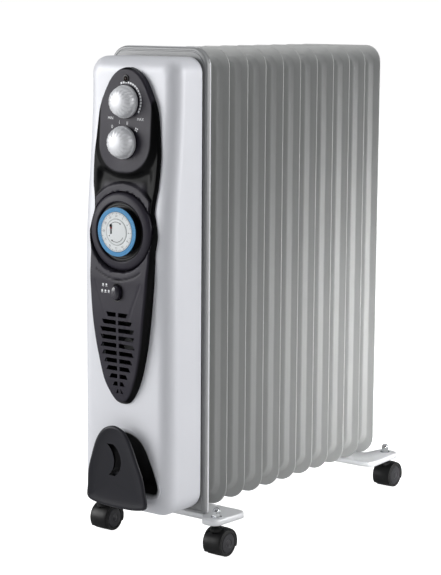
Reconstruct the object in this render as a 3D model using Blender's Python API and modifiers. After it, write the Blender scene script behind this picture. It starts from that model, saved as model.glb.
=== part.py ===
"""Oil filled radiator heater on casters, modelled in metres with +Z up.

The controls face -Y and the fins run back along +Y.  The origin is on the floor, below the middle of
the whole heater.  Every separate piece is one object, and the objects named tool_... only cut or join.
"""

from math import cos, pi, radians, sin, sqrt

import bmesh
import bpy
from mathutils import Vector

COLLECTION = "oil_radiator_heater"

# Clearances
GAP = 0.0003
SEAT_GAP = 0.0004
PANEL_SEAT = 0.0010

# Fins and oil headers
FIN_COUNT = 11
FIN_PITCH = 0.040
FIN_WIDTH = 0.155
FIN_HEIGHT = 0.602
FIN_TOP_RADIUS = 0.024
FIN_BOTTOM_RADIUS = 0.027
FIN_RIM = 0.0016
FIN_PAD_INSET = 0.011
FIN_PAD_SLOPE = 0.005
FIN_PAD_THICKNESS = 0.014
HEADER_RADIUS = 0.025
HEADER_WALL = 0.003
HEADER_INSET = 0.058
HEADER_END = 0.009

# Heating element in the bottom header
ELEMENT_TUBE_RADIUS = 0.004
ELEMENT_SPREAD = 0.008
ELEMENT_FLANGE_RADIUS = 0.031
ELEMENT_FLANGE = 0.005
ELEMENT_PIN = 0.016

# End plate: a shallow tray that wraps the first fin
PLATE_WIDTH = 0.1582
PLATE_SHEET = 0.0012
PLATE_FLANGE_REAR = -0.0010

# Housing of the controls
HOUSING_WIDTH = 0.147
HOUSING_BELOW_TOP = 0.010
HOUSING_ABOVE_BOTTOM = 0.0105
HOUSING_DEPTH_LOW = 0.069
HOUSING_DEPTH_TOP = 0.0547
HOUSING_EDGE = 0.020
HOUSING_TOP_RADIUS = 0.021
HOUSING_BOTTOM_RADIUS = 0.031
FACE_ABOVE_BOTTOM = 0.017
HOUSING_WALL = 0.0022

# Control panel
PANEL_WALL = 0.0025
PANEL_LIP = 0.005
PANEL_EDGE = 0.003
PANEL_DRAFT = 0.0002
VENT_ROWS = 11
VENT_PITCH = 0.010
VENT_SLOT = 0.0058
VENT_RIB = 0.0036

# Knobs
KNOB_RADIUS = 0.0207
KNOB_HEIGHT = 0.0172
KNOB_SKIRT = 0.0045
KNOB_LIFT = 0.0012
SHAFT_RADIUS = 0.003
SHAFT_HOLE = 0.0046
LAMP_RADIUS = 0.0026
LAMP_FLANGE = 0.0045

# Timer
BEZEL_RADIUS = 0.050
BEZEL_DROP = 0.004
BEZEL_PROUD = 0.0028
BEZEL_SLOPE = 0.0020
BEZEL_WIDTH = 0.012
TAPPET_RADIUS = 0.0315
DIAL_RADIUS = 0.0255
HUB_RADIUS = 0.0165
TIMER_BODY_RADIUS = 0.0345
TIMER_BODY_DEPTH = 0.034
DIAL_THICKNESS = 0.009
DIAL_PROUD = 0.0085
OVERRIDE_SLOT = (0.012, 0.0032)
OVERRIDE_PLACE = (-0.0085, 0.0035)

# Fan switch and turbo fan
BUTTON_SIZE = (0.014, 0.020)
BUTTON_PROUD = 0.008
BUTTON_TRAVEL = 0.0025
FAN_RADIUS = 0.030
FAN_HUB = 0.010
FAN_BLADES = 5
FAN_DEPTH = 0.010
MOTOR_RADIUS = 0.014
MOTOR_LENGTH = 0.018
DUCT_SIZE = (0.088, 0.092)
DUCT_WALL = 0.0012
DUCT_DEPTH = 0.020
FAN_SHAFT = 0.0015

# Cord store at the foot of the housing
WRAP_BOTTOM = 0.014
WRAP_HEIGHT = 0.106
WRAP_HALF_WIDTH = 0.0505
WRAP_PLATE = 0.004
WRAP_STAND_OFF = 0.013
RECESS_MARGIN = 0.005
RECESS_DEPTH = 0.012
RECESS_WALL = 0.0016
RECESS_LOW = 0.038
STEM_RADIUS = 0.011
STEM_RISE = 0.037
SLOT_RISE = 0.064
SLOT_LEFT = 0.020
SLOT_RADII = (0.0235, 0.0215)
GLAND_RADIUS = 0.0065
GLAND_PROUD = 0.007

# Feet and casters
FOOT_SHEET = 0.002
FOOT_FLANGE = 0.0075
FOOT_BAR = 0.052
FRONT_CASTER = (0.097, -0.0076)
REAR_CASTER = (0.0833, 0.0258)
FRONT_LOBE = (0.013, 0.0150, 0.0165)
REAR_LOBE = (0.0165, 0.0185, 0.0170)
FOOT_CORNERS = (0.008, 0.0095, 0.0125, 0.014)
WHEEL_RADIUS = 0.018
WHEEL_WIDTH = 0.0095
WHEEL_SEGMENTS = 22
CASTER_WEB = 0.0084
AXLE_RADIUS = 0.003
HOOD_GAP = 0.0009
HOOD_WALL = 0.0022
CASTER_TRAIL = 0.008
NECK_RADIUS = 0.0055
NECK_RISE = 0.0118036
STEM_PIN_RADIUS = 0.0025
NUT_RADIUS = 0.0068
NUT_HEIGHT = 0.0125
HOOK_RADIUS = 0.0025

# Places that follow from the sizes above
AXLE_HEIGHT = WHEEL_RADIUS * cos(pi / WHEEL_SEGMENTS)
HOOD_RADIUS = WHEEL_RADIUS + HOOD_GAP + HOOD_WALL
FIN_BOTTOM = AXLE_HEIGHT + HOOD_RADIUS + NECK_RISE + FOOT_SHEET + GAP
FIN_TOP = FIN_BOTTOM + FIN_HEIGHT
FIN_RUN = (FIN_COUNT - 1) * FIN_PITCH
HEADER_LOW = FIN_BOTTOM + HEADER_INSET
HEADER_HIGH = FIN_TOP - HEADER_INSET
HOUSING_TOP = FIN_TOP - HOUSING_BELOW_TOP
HOUSING_BOTTOM = FIN_BOTTOM + HOUSING_ABOVE_BOTTOM
FACE_BOTTOM = FIN_BOTTOM + FACE_ABOVE_BOTTOM
FACE_SCALE = (HOUSING_TOP - FACE_BOTTOM) / 0.575
PLATE_FRONT = FIN_PAD_THICKNESS / 2 + 2 * GAP + PLATE_SHEET
HOUSING_BACK = PLATE_FRONT + SEAT_GAP
STORE_PROUD = WRAP_STAND_OFF + WRAP_PLATE
REAR_REACH = FIN_RUN + REAR_CASTER[1] + CASTER_TRAIL + HOOD_RADIUS
FOOT_TOP = FIN_BOTTOM - GAP
FOOT_BOTTOM = FOOT_TOP - FOOT_SHEET
CENTRE_FRONT = (pi / 2, 0, 0)

# Heights on the face, from its foot
PANEL_OUTLINE = (
    (0.132, 0.000),
    (0.1375, 0.0145),
    (0.163, 0.0290),
    (0.203, 0.0395),
    (0.243, 0.0455),
    (0.286, 0.0500),
    (0.298, 0.0508),
    (0.318, 0.0518),
    (0.331, 0.0522),
    (0.352, 0.0550),
    (0.371, 0.0515),
    (0.383, 0.0484),
    (0.404, 0.0502),
    (0.414, 0.0516),
    (0.440, 0.0524),
    (0.463, 0.0515),
    (0.503, 0.0463),
    (0.527, 0.0385),
    (0.547, 0.027),
    (0.558, 0.014),
    (0.562, 0.000),
)
PANEL_RISE = (
    (0.132, 0.0070),
    (0.168, 0.0105),
    (0.248, 0.0130),
    (0.286, 0.0120),
    (0.298, 0.0070),
    (0.404, 0.0070),
    (0.414, 0.0085),
    (0.562, 0.0085),
)
THERMOSTAT_HEIGHT = 0.519
SELECTOR_HEIGHT = 0.468
LAMP_HEIGHT = 0.548
TIMER_HEIGHT = 0.3557
BUTTON_HEIGHT = 0.2785
VENT_TOP = 0.2495
LEAN_START = 0.313
LEAN_END = 0.543
LEAN_ROWS = 8
VENT_HALF_WIDTHS = (
    0.0165, 0.0235, 0.0268, 0.0268, 0.0268, 0.0248, 0.0218, 0.0185, 0.0138, 0.0085, 0.0045,
)


def face_height(offset):
    """Height above the floor of a point on the face, which keeps its layout on a taller housing."""
    return FACE_BOTTOM + offset * FACE_SCALE


def blend(table, value):
    """Read a smooth value between the rows of a table of (place, value)."""
    if value <= table[0][0]:
        return table[0][1]
    for (low, first), (high, last) in zip(table, table[1:]):
        if value <= high:
            share = (value - low) / (high - low)
            share = share * share * (3 - 2 * share)
            return first + (last - first) * share
    return table[-1][1]


def housing_depth(height):
    """Depth of the housing in front of its back edge, which leans back towards the top."""
    offset = (height - FACE_BOTTOM) / FACE_SCALE
    return blend(((LEAN_START, HOUSING_DEPTH_LOW), (LEAN_END, HOUSING_DEPTH_TOP)), offset)


BUTTON_REACH = blend(PANEL_RISE, BUTTON_HEIGHT) + BUTTON_PROUD
FRONT_REACH = HOUSING_BACK + HOUSING_DEPTH_LOW + max(STORE_PROUD, BUTTON_REACH)
FIRST_FIN_Y = (FRONT_REACH - REAR_REACH) / 2
LAST_FIN_Y = FIRST_FIN_Y + FIN_RUN


def housing_y(height):
    """Place of the housing's front face along Y."""
    return FIRST_FIN_Y - HOUSING_BACK - housing_depth(height)


def panel_y(height):
    """Place of the panel's front face along Y."""
    offset = (height - FACE_BOTTOM) / FACE_SCALE
    return housing_y(height) - blend(PANEL_RISE, offset)


# ---------------------------------------------------------------------------------------------------
# Scene, materials and modelling helpers


def clear_scene():
    for item in list(bpy.data.objects):
        bpy.data.objects.remove(item, do_unlink=True)


def make_collection(name):
    collection = bpy.data.collections.new(name)
    bpy.context.scene.collection.children.link(collection)
    return collection


clear_scene()
PARTS = make_collection(COLLECTION)
TOOLS = make_collection("cutters")


def paint(item, colour, roughness, metallic=0.0):
    """Give an object its own material."""
    material = bpy.data.materials.new(item.name)
    material.use_nodes = True
    shader = material.node_tree.nodes["Principled BSDF"]
    shader.inputs["Base Color"].default_value = (*colour, 1.0)
    shader.inputs["Roughness"].default_value = roughness
    shader.inputs["Metallic"].default_value = metallic
    item.data.materials.clear()
    item.data.materials.append(material)


def adopt(item, name, parent=None):
    """Name an object and move it to the collection of parts, under a joint's empty if it has one."""
    item.name = name
    item.data.name = name
    for collection in list(item.users_collection):
        collection.objects.unlink(item)
    PARTS.objects.link(item)
    if parent is not None:
        item.parent = parent
        item.location -= parent.location
    return item


def as_tool(item, name):
    """Keep an object only as a cutter or a joined piece."""
    item.name = "tool_" + name
    for collection in list(item.users_collection):
        collection.objects.unlink(item)
    TOOLS.objects.link(item)
    item.hide_render = True
    item.display_type = "WIRE"
    return item


def empty(name, location):
    """An empty that marks a joint's axis."""
    item = bpy.data.objects.new(name, None)
    item.location = location
    PARTS.objects.link(item)
    return item


def from_bmesh(bm, smooth_angle=None):
    """Turn a bmesh into an object with its faces pointing out."""
    bmesh.ops.remove_doubles(bm, verts=bm.verts[:], dist=1e-6)
    bmesh.ops.recalc_face_normals(bm, faces=bm.faces[:])
    mesh = bpy.data.meshes.new("mesh")
    bm.to_mesh(mesh)
    bm.free()
    if smooth_angle is not None:
        mesh.shade_smooth()
        mesh.set_sharp_from_angle(angle=radians(smooth_angle))
    item = bpy.data.objects.new("item", mesh)
    bpy.context.scene.collection.objects.link(item)
    return item


def boolean(item, tool, operation):
    modifier = item.modifiers.new(tool.name, "BOOLEAN")
    modifier.object = tool
    modifier.operation = operation
    modifier.solver = "EXACT"
    return item


def cut(item, tool):
    return boolean(item, tool, "DIFFERENCE")


def join(item, tool):
    return boolean(item, tool, "UNION")


def box(size, centre, bevel=0.0):
    """A box of a size about its centre, with its scale in the mesh, and optional rounded edges."""
    bm = bmesh.new()
    bmesh.ops.create_cube(bm, size=1.0)
    bmesh.ops.scale(bm, verts=bm.verts[:], vec=Vector(size))
    item = from_bmesh(bm)
    item.location = centre
    if bevel:
        modifier = item.modifiers.new("Bevel", "BEVEL")
        modifier.width = bevel
        modifier.segments = 2
    return item


def cylinder(radius, length, centre, rotation=(0, 0, 0), vertices=24, turn=0.0):
    """A cylinder about its centre, along local Z before its rotation."""
    bm = bmesh.new()
    bmesh.ops.create_cone(bm, cap_ends=True, segments=vertices, radius1=radius, radius2=radius, depth=length)
    for vert in bm.verts:
        x, y = vert.co.x, vert.co.y
        vert.co.x = x * cos(turn) - y * sin(turn)
        vert.co.y = x * sin(turn) + y * cos(turn)
    item = from_bmesh(bm, 40)
    item.location = centre
    item.rotation_euler = rotation
    return item


def turned(profile, centre, rotation=(0, 0, 0), steps=32, ring=False, turn=0.0):
    """A turned piece: (radius, height) points run down the outer side, about local Z."""
    mesh = bpy.data.meshes.new("profile")
    points = [(radius * cos(turn), radius * sin(turn), height) for radius, height in profile]
    edges = [(index, index + 1) for index in range(len(points) - 1)]
    if ring:
        edges.append((len(points) - 1, 0))
    mesh.from_pydata(points, edges, [])
    item = bpy.data.objects.new("turned", mesh)
    bpy.context.scene.collection.objects.link(item)
    screw = item.modifiers.new("Screw", "SCREW")
    screw.steps = steps
    screw.render_steps = steps
    screw.use_merge_vertices = True
    screw.merge_threshold = 0.00001
    screw.use_smooth_shade = True
    item.location = centre
    item.rotation_euler = rotation
    return item


def arc(centre, radius, start, end, steps):
    """Points of an arc in a plane, from one angle in degrees to another."""
    return [
        (
            centre[0] + radius * cos(radians(start + (end - start) * step / steps)),
            centre[1] + radius * sin(radians(start + (end - start) * step / steps)),
        )
        for step in range(steps + 1)
    ]


def half_outline(half_width, low, high, low_radius, high_radius, rows=(), steps=5):
    """Right half of a rounded rectangle in (x, z), from its lowest middle point up to its highest."""
    points = [(0.0, low)]
    points += arc((half_width - low_radius, low + low_radius), low_radius, -90, 0, steps)
    points += [(half_width, row) for row in rows]
    points += arc((half_width - high_radius, high - high_radius), high_radius, 0, 90, steps)
    points.append((0.0, high))
    return points


def full_outline(half):
    """Close a right half into a whole outline."""
    left = [(-x, z) for x, z in reversed(half) if x > 1e-9]
    return list(half) + left


def prism(outline, front, back, smooth_angle=30):
    """A closed outline in (x, z), carried along Y from its front to its back."""
    bm = bmesh.new()
    near = [bm.verts.new((x, front, z)) for x, z in outline]
    far = [bm.verts.new((x, back, z)) for x, z in outline]
    count = len(outline)
    for index in range(count):
        after = (index + 1) % count
        bm.faces.new((near[index], near[after], far[after], far[index]))
    bm.faces.new(near)
    bm.faces.new(list(reversed(far)))
    return from_bmesh(bm, smooth_angle)


def close_to_middle(bm, face):
    """Fill a half loop across to the plane of symmetry."""
    middle = [bm.verts.new((0.0, vert.co.y, vert.co.z)) for vert in face[1:-1]]
    middle = [face[0], *middle, face[-1]]
    for index in range(len(face) - 1):
        corners = [face[index], face[index + 1], middle[index + 1], middle[index]]
        bm.faces.new(list(dict.fromkeys(corners)))


def mirrored_shell(loops, wall=None):
    """A piece from right half loops of (x, y, z), from its back to its front, which is closed.

    Each loop starts and ends on the plane of symmetry, and a Mirror adds the left half.  With a wall
    it is a shell, open at the back, with the wall inside its surface.  Without one it is solid.
    """
    bm = bmesh.new()
    rings = [[bm.verts.new(point) for point in loop] for loop in loops]
    for first, second in zip(rings, rings[1:]):
        for index in range(len(first) - 1):
            bm.faces.new((first[index], first[index + 1], second[index + 1], second[index]))
    if wall is None:
        close_to_middle(bm, rings[0])
    close_to_middle(bm, rings[-1])
    item = from_bmesh_open(bm)
    mirror = item.modifiers.new("Mirror", "MIRROR")
    mirror.use_clip = True
    mirror.merge_threshold = 0.00001
    if wall is not None:
        solidify = item.modifiers.new("Solidify", "SOLIDIFY")
        solidify.thickness = wall
        solidify.offset = -1.0
        solidify.use_even_offset = True
    return item


def from_bmesh_open(bm):
    """Like from_bmesh, for an open surface whose last face looks to -Y or, lying down, to +Z."""
    bmesh.ops.remove_doubles(bm, verts=bm.verts[:], dist=1e-7)
    bmesh.ops.recalc_face_normals(bm, faces=bm.faces[:])
    bm.faces.ensure_lookup_table()
    bm.normal_update()
    lead = bm.faces[-1].normal
    if lead.y > 0.5 or lead.z < -0.5:
        bmesh.ops.reverse_faces(bm, faces=bm.faces[:])
    mesh = bpy.data.meshes.new("mesh")
    bm.to_mesh(mesh)
    bm.free()
    mesh.shade_smooth()
    mesh.set_sharp_from_angle(angle=radians(35))
    item = bpy.data.objects.new("item", mesh)
    bpy.context.scene.collection.objects.link(item)
    return item


def tube(points, radius, name, resolution=2):
    """A round rod along points, as a mesh with its caps welded."""
    curve = bpy.data.curves.new(name, "CURVE")
    curve.dimensions = "3D"
    curve.bevel_depth = radius
    curve.bevel_resolution = resolution
    curve.use_fill_caps = True
    spline = curve.splines.new("POLY")
    spline.points.add(len(points) - 1)
    for point, place in zip(spline.points, points):
        point.co = (*place, 1.0)
    source = bpy.data.objects.new(name, curve)
    bpy.context.scene.collection.objects.link(source)
    graph = bpy.context.evaluated_depsgraph_get()
    mesh = bpy.data.meshes.new_from_object(source.evaluated_get(graph))
    bpy.data.objects.remove(source, do_unlink=True)
    bm = bmesh.new()
    bm.from_mesh(mesh)
    bmesh.ops.remove_doubles(bm, verts=bm.verts[:], dist=1e-6)
    return from_bmesh(bm, 40)


# ---------------------------------------------------------------------------------------------------
# Oil body: fins, headers, heating element and end plate


def fin_outline(inset):
    """Outline of a fin, or of its raised pad, drawn in by an inset."""
    half = half_outline(
        FIN_WIDTH / 2 - inset,
        FIN_BOTTOM + inset,
        FIN_TOP - inset,
        FIN_BOTTOM_RADIUS - inset * 0.6,
        FIN_TOP_RADIUS - inset * 0.6,
        steps=4,
    )
    return full_outline(half[1:-1])


def make_fins():
    """Pressed plates: a flat rim round a raised oil pad, with holes for the two headers."""
    levels = (
        (FIN_PAD_INSET + FIN_PAD_SLOPE, -FIN_PAD_THICKNESS / 2),
        (FIN_PAD_INSET, -FIN_RIM / 2),
        (0.0, -FIN_RIM / 2),
        (0.0, FIN_RIM / 2),
        (FIN_PAD_INSET, FIN_RIM / 2),
        (FIN_PAD_INSET + FIN_PAD_SLOPE, FIN_PAD_THICKNESS / 2),
    )
    bm = bmesh.new()
    rings = [[bm.verts.new((x, y, z)) for x, z in fin_outline(inset)] for inset, y in levels]
    for first, second in zip(rings, rings[1:]):
        for index in range(len(first)):
            after = (index + 1) % len(first)
            bm.faces.new((first[index], first[after], second[after], second[index]))
    bm.faces.new(rings[0])
    bm.faces.new(list(reversed(rings[-1])))
    pattern = from_bmesh(bm, 30)
    holes = []
    for name, height in (("low", HEADER_LOW), ("high", HEADER_HIGH)):
        middle = (0, FIRST_FIN_Y + FIN_RUN / 2, height)
        hole = cylinder(HEADER_RADIUS + 2 * GAP, FIN_RUN + 0.06, middle, CENTRE_FRONT, 16)
        holes.append(as_tool(hole, "fin_hole_" + name))
    for number in range(FIN_COUNT):
        fin = bpy.data.objects.new("fin", pattern.data.copy())
        bpy.context.scene.collection.objects.link(fin)
        fin.location.y = FIRST_FIN_Y + number * FIN_PITCH
        for hole in holes:
            cut(fin, hole)
        adopt(fin, f"fin_{number + 1:02d}")
        paint(fin, (0.36, 0.37, 0.37), 0.42)
    bpy.data.objects.remove(pattern, do_unlink=True)


def make_headers():
    """The two welded oil headers.  The low one is open in front, for the heating element."""
    rear = LAST_FIN_Y + HEADER_END
    low_front = FIRST_FIN_Y - PLATE_FRONT - 2 * SEAT_GAP
    high_front = FIRST_FIN_Y - PLATE_FRONT + PLATE_SHEET + GAP
    inner = HEADER_RADIUS - HEADER_WALL
    for name, height, front, mouth in (
        ("bottom_header", HEADER_LOW, low_front, inner),
        ("top_header", HEADER_HIGH, high_front, inner / 3),
    ):
        run = rear - front
        profile = (
            (mouth, 0.0),
            (HEADER_RADIUS, 0.0),
            (HEADER_RADIUS, -run),
            (0.0, -run),
            (0.0, HEADER_WALL - run),
            (inner, HEADER_WALL - run),
            (inner, -HEADER_WALL),
            (mouth, -HEADER_WALL),
        )
        header = turned(profile, (0, front, height), CENTRE_FRONT, 16, ring=True)
        adopt(header, name)
        paint(header, (0.36, 0.37, 0.37), 0.42)


def make_heating_element():
    """Two hairpin rods brazed into the flange that closes the low header, with their four pins."""
    face = FIRST_FIN_Y - PLATE_FRONT - 2 * SEAT_GAP - GAP
    profile = (
        (0.0, ELEMENT_FLANGE),
        (ELEMENT_FLANGE_RADIUS, ELEMENT_FLANGE),
        (ELEMENT_FLANGE_RADIUS, 0.0),
        (0.0, 0.0),
    )
    element = turned(profile, (0, face, HEADER_LOW), CENTRE_FRONT, 24)
    adopt(element, "heating_element")
    far = LAST_FIN_Y - 0.012
    for side in (-1, 1):
        x = side * ELEMENT_SPREAD
        bend = arc((far, HEADER_LOW), ELEMENT_SPREAD, 90, -90, 6)
        front = face - ELEMENT_PIN
        route = [(x, front, HEADER_LOW + ELEMENT_SPREAD)]
        route += [(x, y, z) for y, z in bend]
        route.append((x, front, HEADER_LOW - ELEMENT_SPREAD))
        rod = tube(route, ELEMENT_TUBE_RADIUS, "rod", 1)
        join(element, as_tool(rod, f"element_rod_{side}"))
    paint(element, (0.55, 0.42, 0.30), 0.35, 1.0)


def make_end_plate():
    """Sheet tray that closes the fins at the front, with square lower corners."""
    front = FIRST_FIN_Y - PLATE_FRONT
    rear = FIRST_FIN_Y + PLATE_FLANGE_REAR
    half = half_outline(
        PLATE_WIDTH / 2, FIN_BOTTOM, FIN_TOP + PLATE_SHEET + 2 * GAP, 0.003, FIN_TOP_RADIUS + 0.001, steps=4
    )
    loops = [[(x, y, z) for x, z in half] for y in (rear, front)]
    plate = mirrored_shell(loops, PLATE_SHEET)
    hole = cylinder(HEADER_RADIUS + 2 * GAP, 0.02, (0, front, HEADER_LOW), CENTRE_FRONT, 16)
    cut(plate, as_tool(hole, "plate_hole"))
    reach = front + PLATE_SHEET + 0.01 + GAP
    foot_edge = box((PLATE_WIDTH - 4 * PLATE_SHEET, 0.02, 0.004), (0, reach, FIN_BOTTOM))
    cut(plate, as_tool(foot_edge, "plate_foot_edge"))
    adopt(plate, "front_end_plate")
    paint(plate, (0.62, 0.63, 0.64), 0.35)


# ---------------------------------------------------------------------------------------------------
# Housing and control panel


def smooth_outline(table, scale=1.0, steps=2, grow=0.0, move=0.0):
    """A smooth right half outline (x, z) through (height, half width) rows, by Catmull-Rom."""
    rows = [Vector((width, height * scale)) for height, width in table]
    first = Vector((-rows[1].x, rows[1].y))
    last = Vector((-rows[-2].x, rows[-2].y))
    chain = [first, *rows, last]
    points = []
    for index in range(1, len(chain) - 2):
        before, start, end, after = chain[index - 1 : index + 3]
        for step in range(steps):
            t = step / steps
            point = (
                start * 2
                + (end - before) * t
                + (before * 2 - start * 5 + end * 4 - after) * t * t
                + (start * 3 - before - end * 3 + after) * t * t * t
            ) / 2
            points.append(point)
    points.append(rows[-1])
    grown = []
    for index, point in enumerate(points):
        before = points[index - 1] if index else Vector((-points[1].x, points[1].y))
        after = points[index + 1] if index < len(points) - 1 else Vector((-points[-2].x, points[-2].y))
        along = (after - before).normalized()
        place = point + Vector((along.y, -along.x)) * grow
        grown.append((max(place.x, 0.0), place.y + move))
    grown[0] = (0.0, grown[0][1])
    grown[-1] = (0.0, grown[-1][1])
    return grown


def panel_half(grow=0.0):
    return smooth_outline(PANEL_OUTLINE, FACE_SCALE, 2, grow, FACE_BOTTOM)


def wrap_half(grow=0.0, steps=2):
    """Right half of the bell shape of the cord store."""
    wide = WRAP_HALF_WIDTH
    table = (
        (0.0, 0.0),
        (0.001, wide * 0.55),
        (0.007, wide * 0.965),
        (0.024, wide * 0.955),
        (0.045, wide * 0.86),
        (0.067, wide * 0.70),
        (0.088, wide * 0.52),
        (0.101, wide * 0.30),
        (0.106, 0.0),
    )
    return smooth_outline(table, WRAP_HEIGHT / 0.106, steps, grow, FIN_BOTTOM + WRAP_BOTTOM)


def recess_half(grow=0.0):
    """Right half of the recess behind the cord plate, cut off level at its foot."""
    floor = FIN_BOTTOM + RECESS_LOW - grow
    shape = [(x, z) for x, z in wrap_half(RECESS_MARGIN + grow) if z > floor + 0.004]
    return [(0.0, floor), (shape[0][0] - 0.004, floor), (shape[0][0], floor + 0.003), *shape]


def make_housing():
    """Hollow casing of the controls: round edges, a face that leans back, and openings."""
    back = FIRST_FIN_Y - HOUSING_BACK
    lean = LEAN_END - LEAN_START
    rows = [face_height(LEAN_START + lean * step / LEAN_ROWS) for step in range(LEAN_ROWS)]

    def loop(inset, forward):
        half = half_outline(
            HOUSING_WIDTH / 2 - inset,
            HOUSING_BOTTOM + inset,
            HOUSING_TOP - inset,
            HOUSING_BOTTOM_RADIUS - inset * 0.7,
            HOUSING_TOP_RADIUS - inset * 0.7,
            rows,
            4,
        )
        return [(x, back - max(housing_depth(z) - forward, 0.0), z) for x, z in half]

    back_loop = [(x, back, z) for x, _, z in loop(0.0, 0.0)]
    edge = HOUSING_EDGE
    loops = [back_loop]
    for angle in (0, 30, 60, 90):
        turn = radians(angle)
        loops.append(loop(edge * (1 - cos(turn)), edge * (1 - sin(turn))))
    housing = mirrored_shell(loops, HOUSING_WALL)
    window = prism(full_outline(panel_half(-PANEL_LIP)), back - 0.11, back - 0.03)
    cut(housing, as_tool(window, "panel_window"))
    store = prism(full_outline(recess_half(GAP)), back - 0.11, back - 0.05)
    cut(housing, as_tool(store, "store_window"))
    hole = cylinder(GLAND_RADIUS + GAP, 0.03, gland_place(), (0, pi / 2, 0), 16)
    cut(housing, as_tool(hole, "gland_hole"))
    adopt(housing, "housing_shell")
    paint(housing, (0.75, 0.76, 0.79), 0.28)


def vent_slots():
    """Centres and sizes of the slots of the grille, in two columns."""
    for row, half_width in enumerate(VENT_HALF_WIDTHS):
        height = face_height(VENT_TOP - row * VENT_PITCH)
        length = half_width - VENT_RIB / 2
        for side in (-1, 1):
            yield side * (VENT_RIB / 2 + length / 2), height, length


def panel_body(grow):
    """The panel's outer form as a solid that is larger all round, for what is seated on it."""
    return mirrored_shell(
        [
            [(x, housing_y(z) + 0.02, z) for x, z in panel_half(grow)],
            [(x, panel_y(z) + PANEL_EDGE * 0.6 - grow, z) for x, z in panel_half(grow - PANEL_DRAFT)],
            [(x, panel_y(z) - grow, z) for x, z in panel_half(grow - PANEL_EDGE)],
        ]
    )


def make_panel():
    """Dark control panel: a crowned shell with flanks, its holes and the vent grille."""
    loops = [
        [(x, housing_y(z) - PANEL_SEAT, z) for x, z in panel_half()],
        [(x, panel_y(z) + PANEL_EDGE * 0.6, z) for x, z in panel_half(-PANEL_DRAFT)],
        [(x, panel_y(z), z) for x, z in panel_half(-PANEL_EDGE)],
    ]
    panel = mirrored_shell(loops, PANEL_WALL)
    for name, offset, radius in (
        ("thermostat", THERMOSTAT_HEIGHT, SHAFT_HOLE),
        ("selector", SELECTOR_HEIGHT, SHAFT_HOLE),
        ("lamp", LAMP_HEIGHT, LAMP_RADIUS + GAP),
        ("timer", TIMER_HEIGHT - BEZEL_DROP / FACE_SCALE, BEZEL_RADIUS - BEZEL_WIDTH + GAP),
    ):
        height = face_height(offset)
        steps = 32 if name == "timer" else 12
        hole = cylinder(radius, 0.04, (0, panel_y(height), height), CENTRE_FRONT, steps)
        cut(panel, as_tool(hole, "hole_" + name))
    height = face_height(BUTTON_HEIGHT)
    hole = prism(oval(BUTTON_SIZE, GAP * 1.5, height), panel_y(height) - 0.02, panel_y(height) + 0.02)
    cut(panel, as_tool(hole, "hole_button"))
    slots = bmesh.new()
    for x, z, length in vent_slots():
        made = bmesh.ops.create_cube(slots, size=1.0)["verts"]
        bmesh.ops.scale(slots, verts=made, vec=(length, 0.04, VENT_SLOT))
        bmesh.ops.translate(slots, verts=made, vec=(x, panel_y(z), z))
    cut(panel, as_tool(from_bmesh(slots), "vent_slots"))
    adopt(panel, "control_panel")
    paint(panel, (0.055, 0.05, 0.07), 0.35)


def oval(size, grow, height, steps=6):
    """An upright oval with round ends, in (x, z)."""
    radius = size[0] / 2 + grow
    rise = size[1] / 2 + grow - radius
    top = arc((0.0, height + rise), radius, 0, 180, steps)
    foot = arc((0.0, height - rise), radius, 180, 360, steps)
    return top + foot


# ---------------------------------------------------------------------------------------------------
# Controls


def knob_seat(height):
    """Place along Y of the back of a knob, just clear of the highest point of the panel below it."""
    reach = [panel_y(height + share * KNOB_RADIUS) for share in (-1, -0.5, 0, 0.5, 1)]
    return min(reach) - KNOB_LIFT


def make_knob(name, offset, pointer):
    """Domed knob on a shaft, with a pointer groove.  Its origin is on its axis."""
    height = face_height(offset)
    seat = knob_seat(height)
    top = KNOB_HEIGHT
    bore = SHAFT_RADIUS + GAP
    profile = (
        (0.0, top),
        (KNOB_RADIUS * 0.45, top - 0.0004),
        (KNOB_RADIUS * 0.72, top - 0.0018),
        (KNOB_RADIUS * 0.84, top - 0.0045),
        (KNOB_RADIUS * 0.90, KNOB_SKIRT),
        (KNOB_RADIUS, KNOB_SKIRT - 0.001),
        (KNOB_RADIUS, 0.0),
        (bore, 0.0),
        (bore, top - 0.005),
        (0.0, top - 0.005),
    )
    knob = turned(profile, (0, seat, height), CENTRE_FRONT, 28)
    groove = box((0.0016, 0.003, KNOB_RADIUS * 0.5), (0, seat - top, height))
    groove.rotation_euler.y = radians(pointer)
    reach = KNOB_RADIUS * 0.52
    groove.location.x += reach * sin(radians(pointer))
    groove.location.z += reach * cos(radians(pointer))
    cut(knob, as_tool(groove, name + "_pointer"))
    adopt(knob, name)
    paint(knob, (0.72, 0.73, 0.75), 0.3, 0.6)


def make_rotary_unit(name, offset, size, colour):
    """Body of a rotary control behind the panel, with its collar and its shaft into the knob."""
    height = face_height(offset)
    seat = knob_seat(height)
    inner = panel_y(height) + PANEL_WALL
    collar = 0.008
    front = inner + 0.006
    body = box(size, (0, front + size[1] / 2, height), 0.001)
    neck_front = max(panel_y(height + share * collar) for share in (-1, 0, 1)) + PANEL_WALL + SEAT_GAP
    neck = turned(
        ((0.0, 0.0), (collar, 0.0), (collar, neck_front - front - 0.002), (0.0, neck_front - front - 0.002)),
        (0, neck_front, height),
        CENTRE_FRONT,
        16,
    )
    join(body, as_tool(neck, name + "_collar"))
    tip = seat - (KNOB_HEIGHT - 0.005 - SEAT_GAP)
    shaft = cylinder(SHAFT_RADIUS, front + 0.002 - tip, (0, (tip + front + 0.002) / 2, height), CENTRE_FRONT, 12)
    join(body, as_tool(shaft, name + "_shaft"))
    adopt(body, name)
    paint(body, colour, 0.5)


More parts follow.
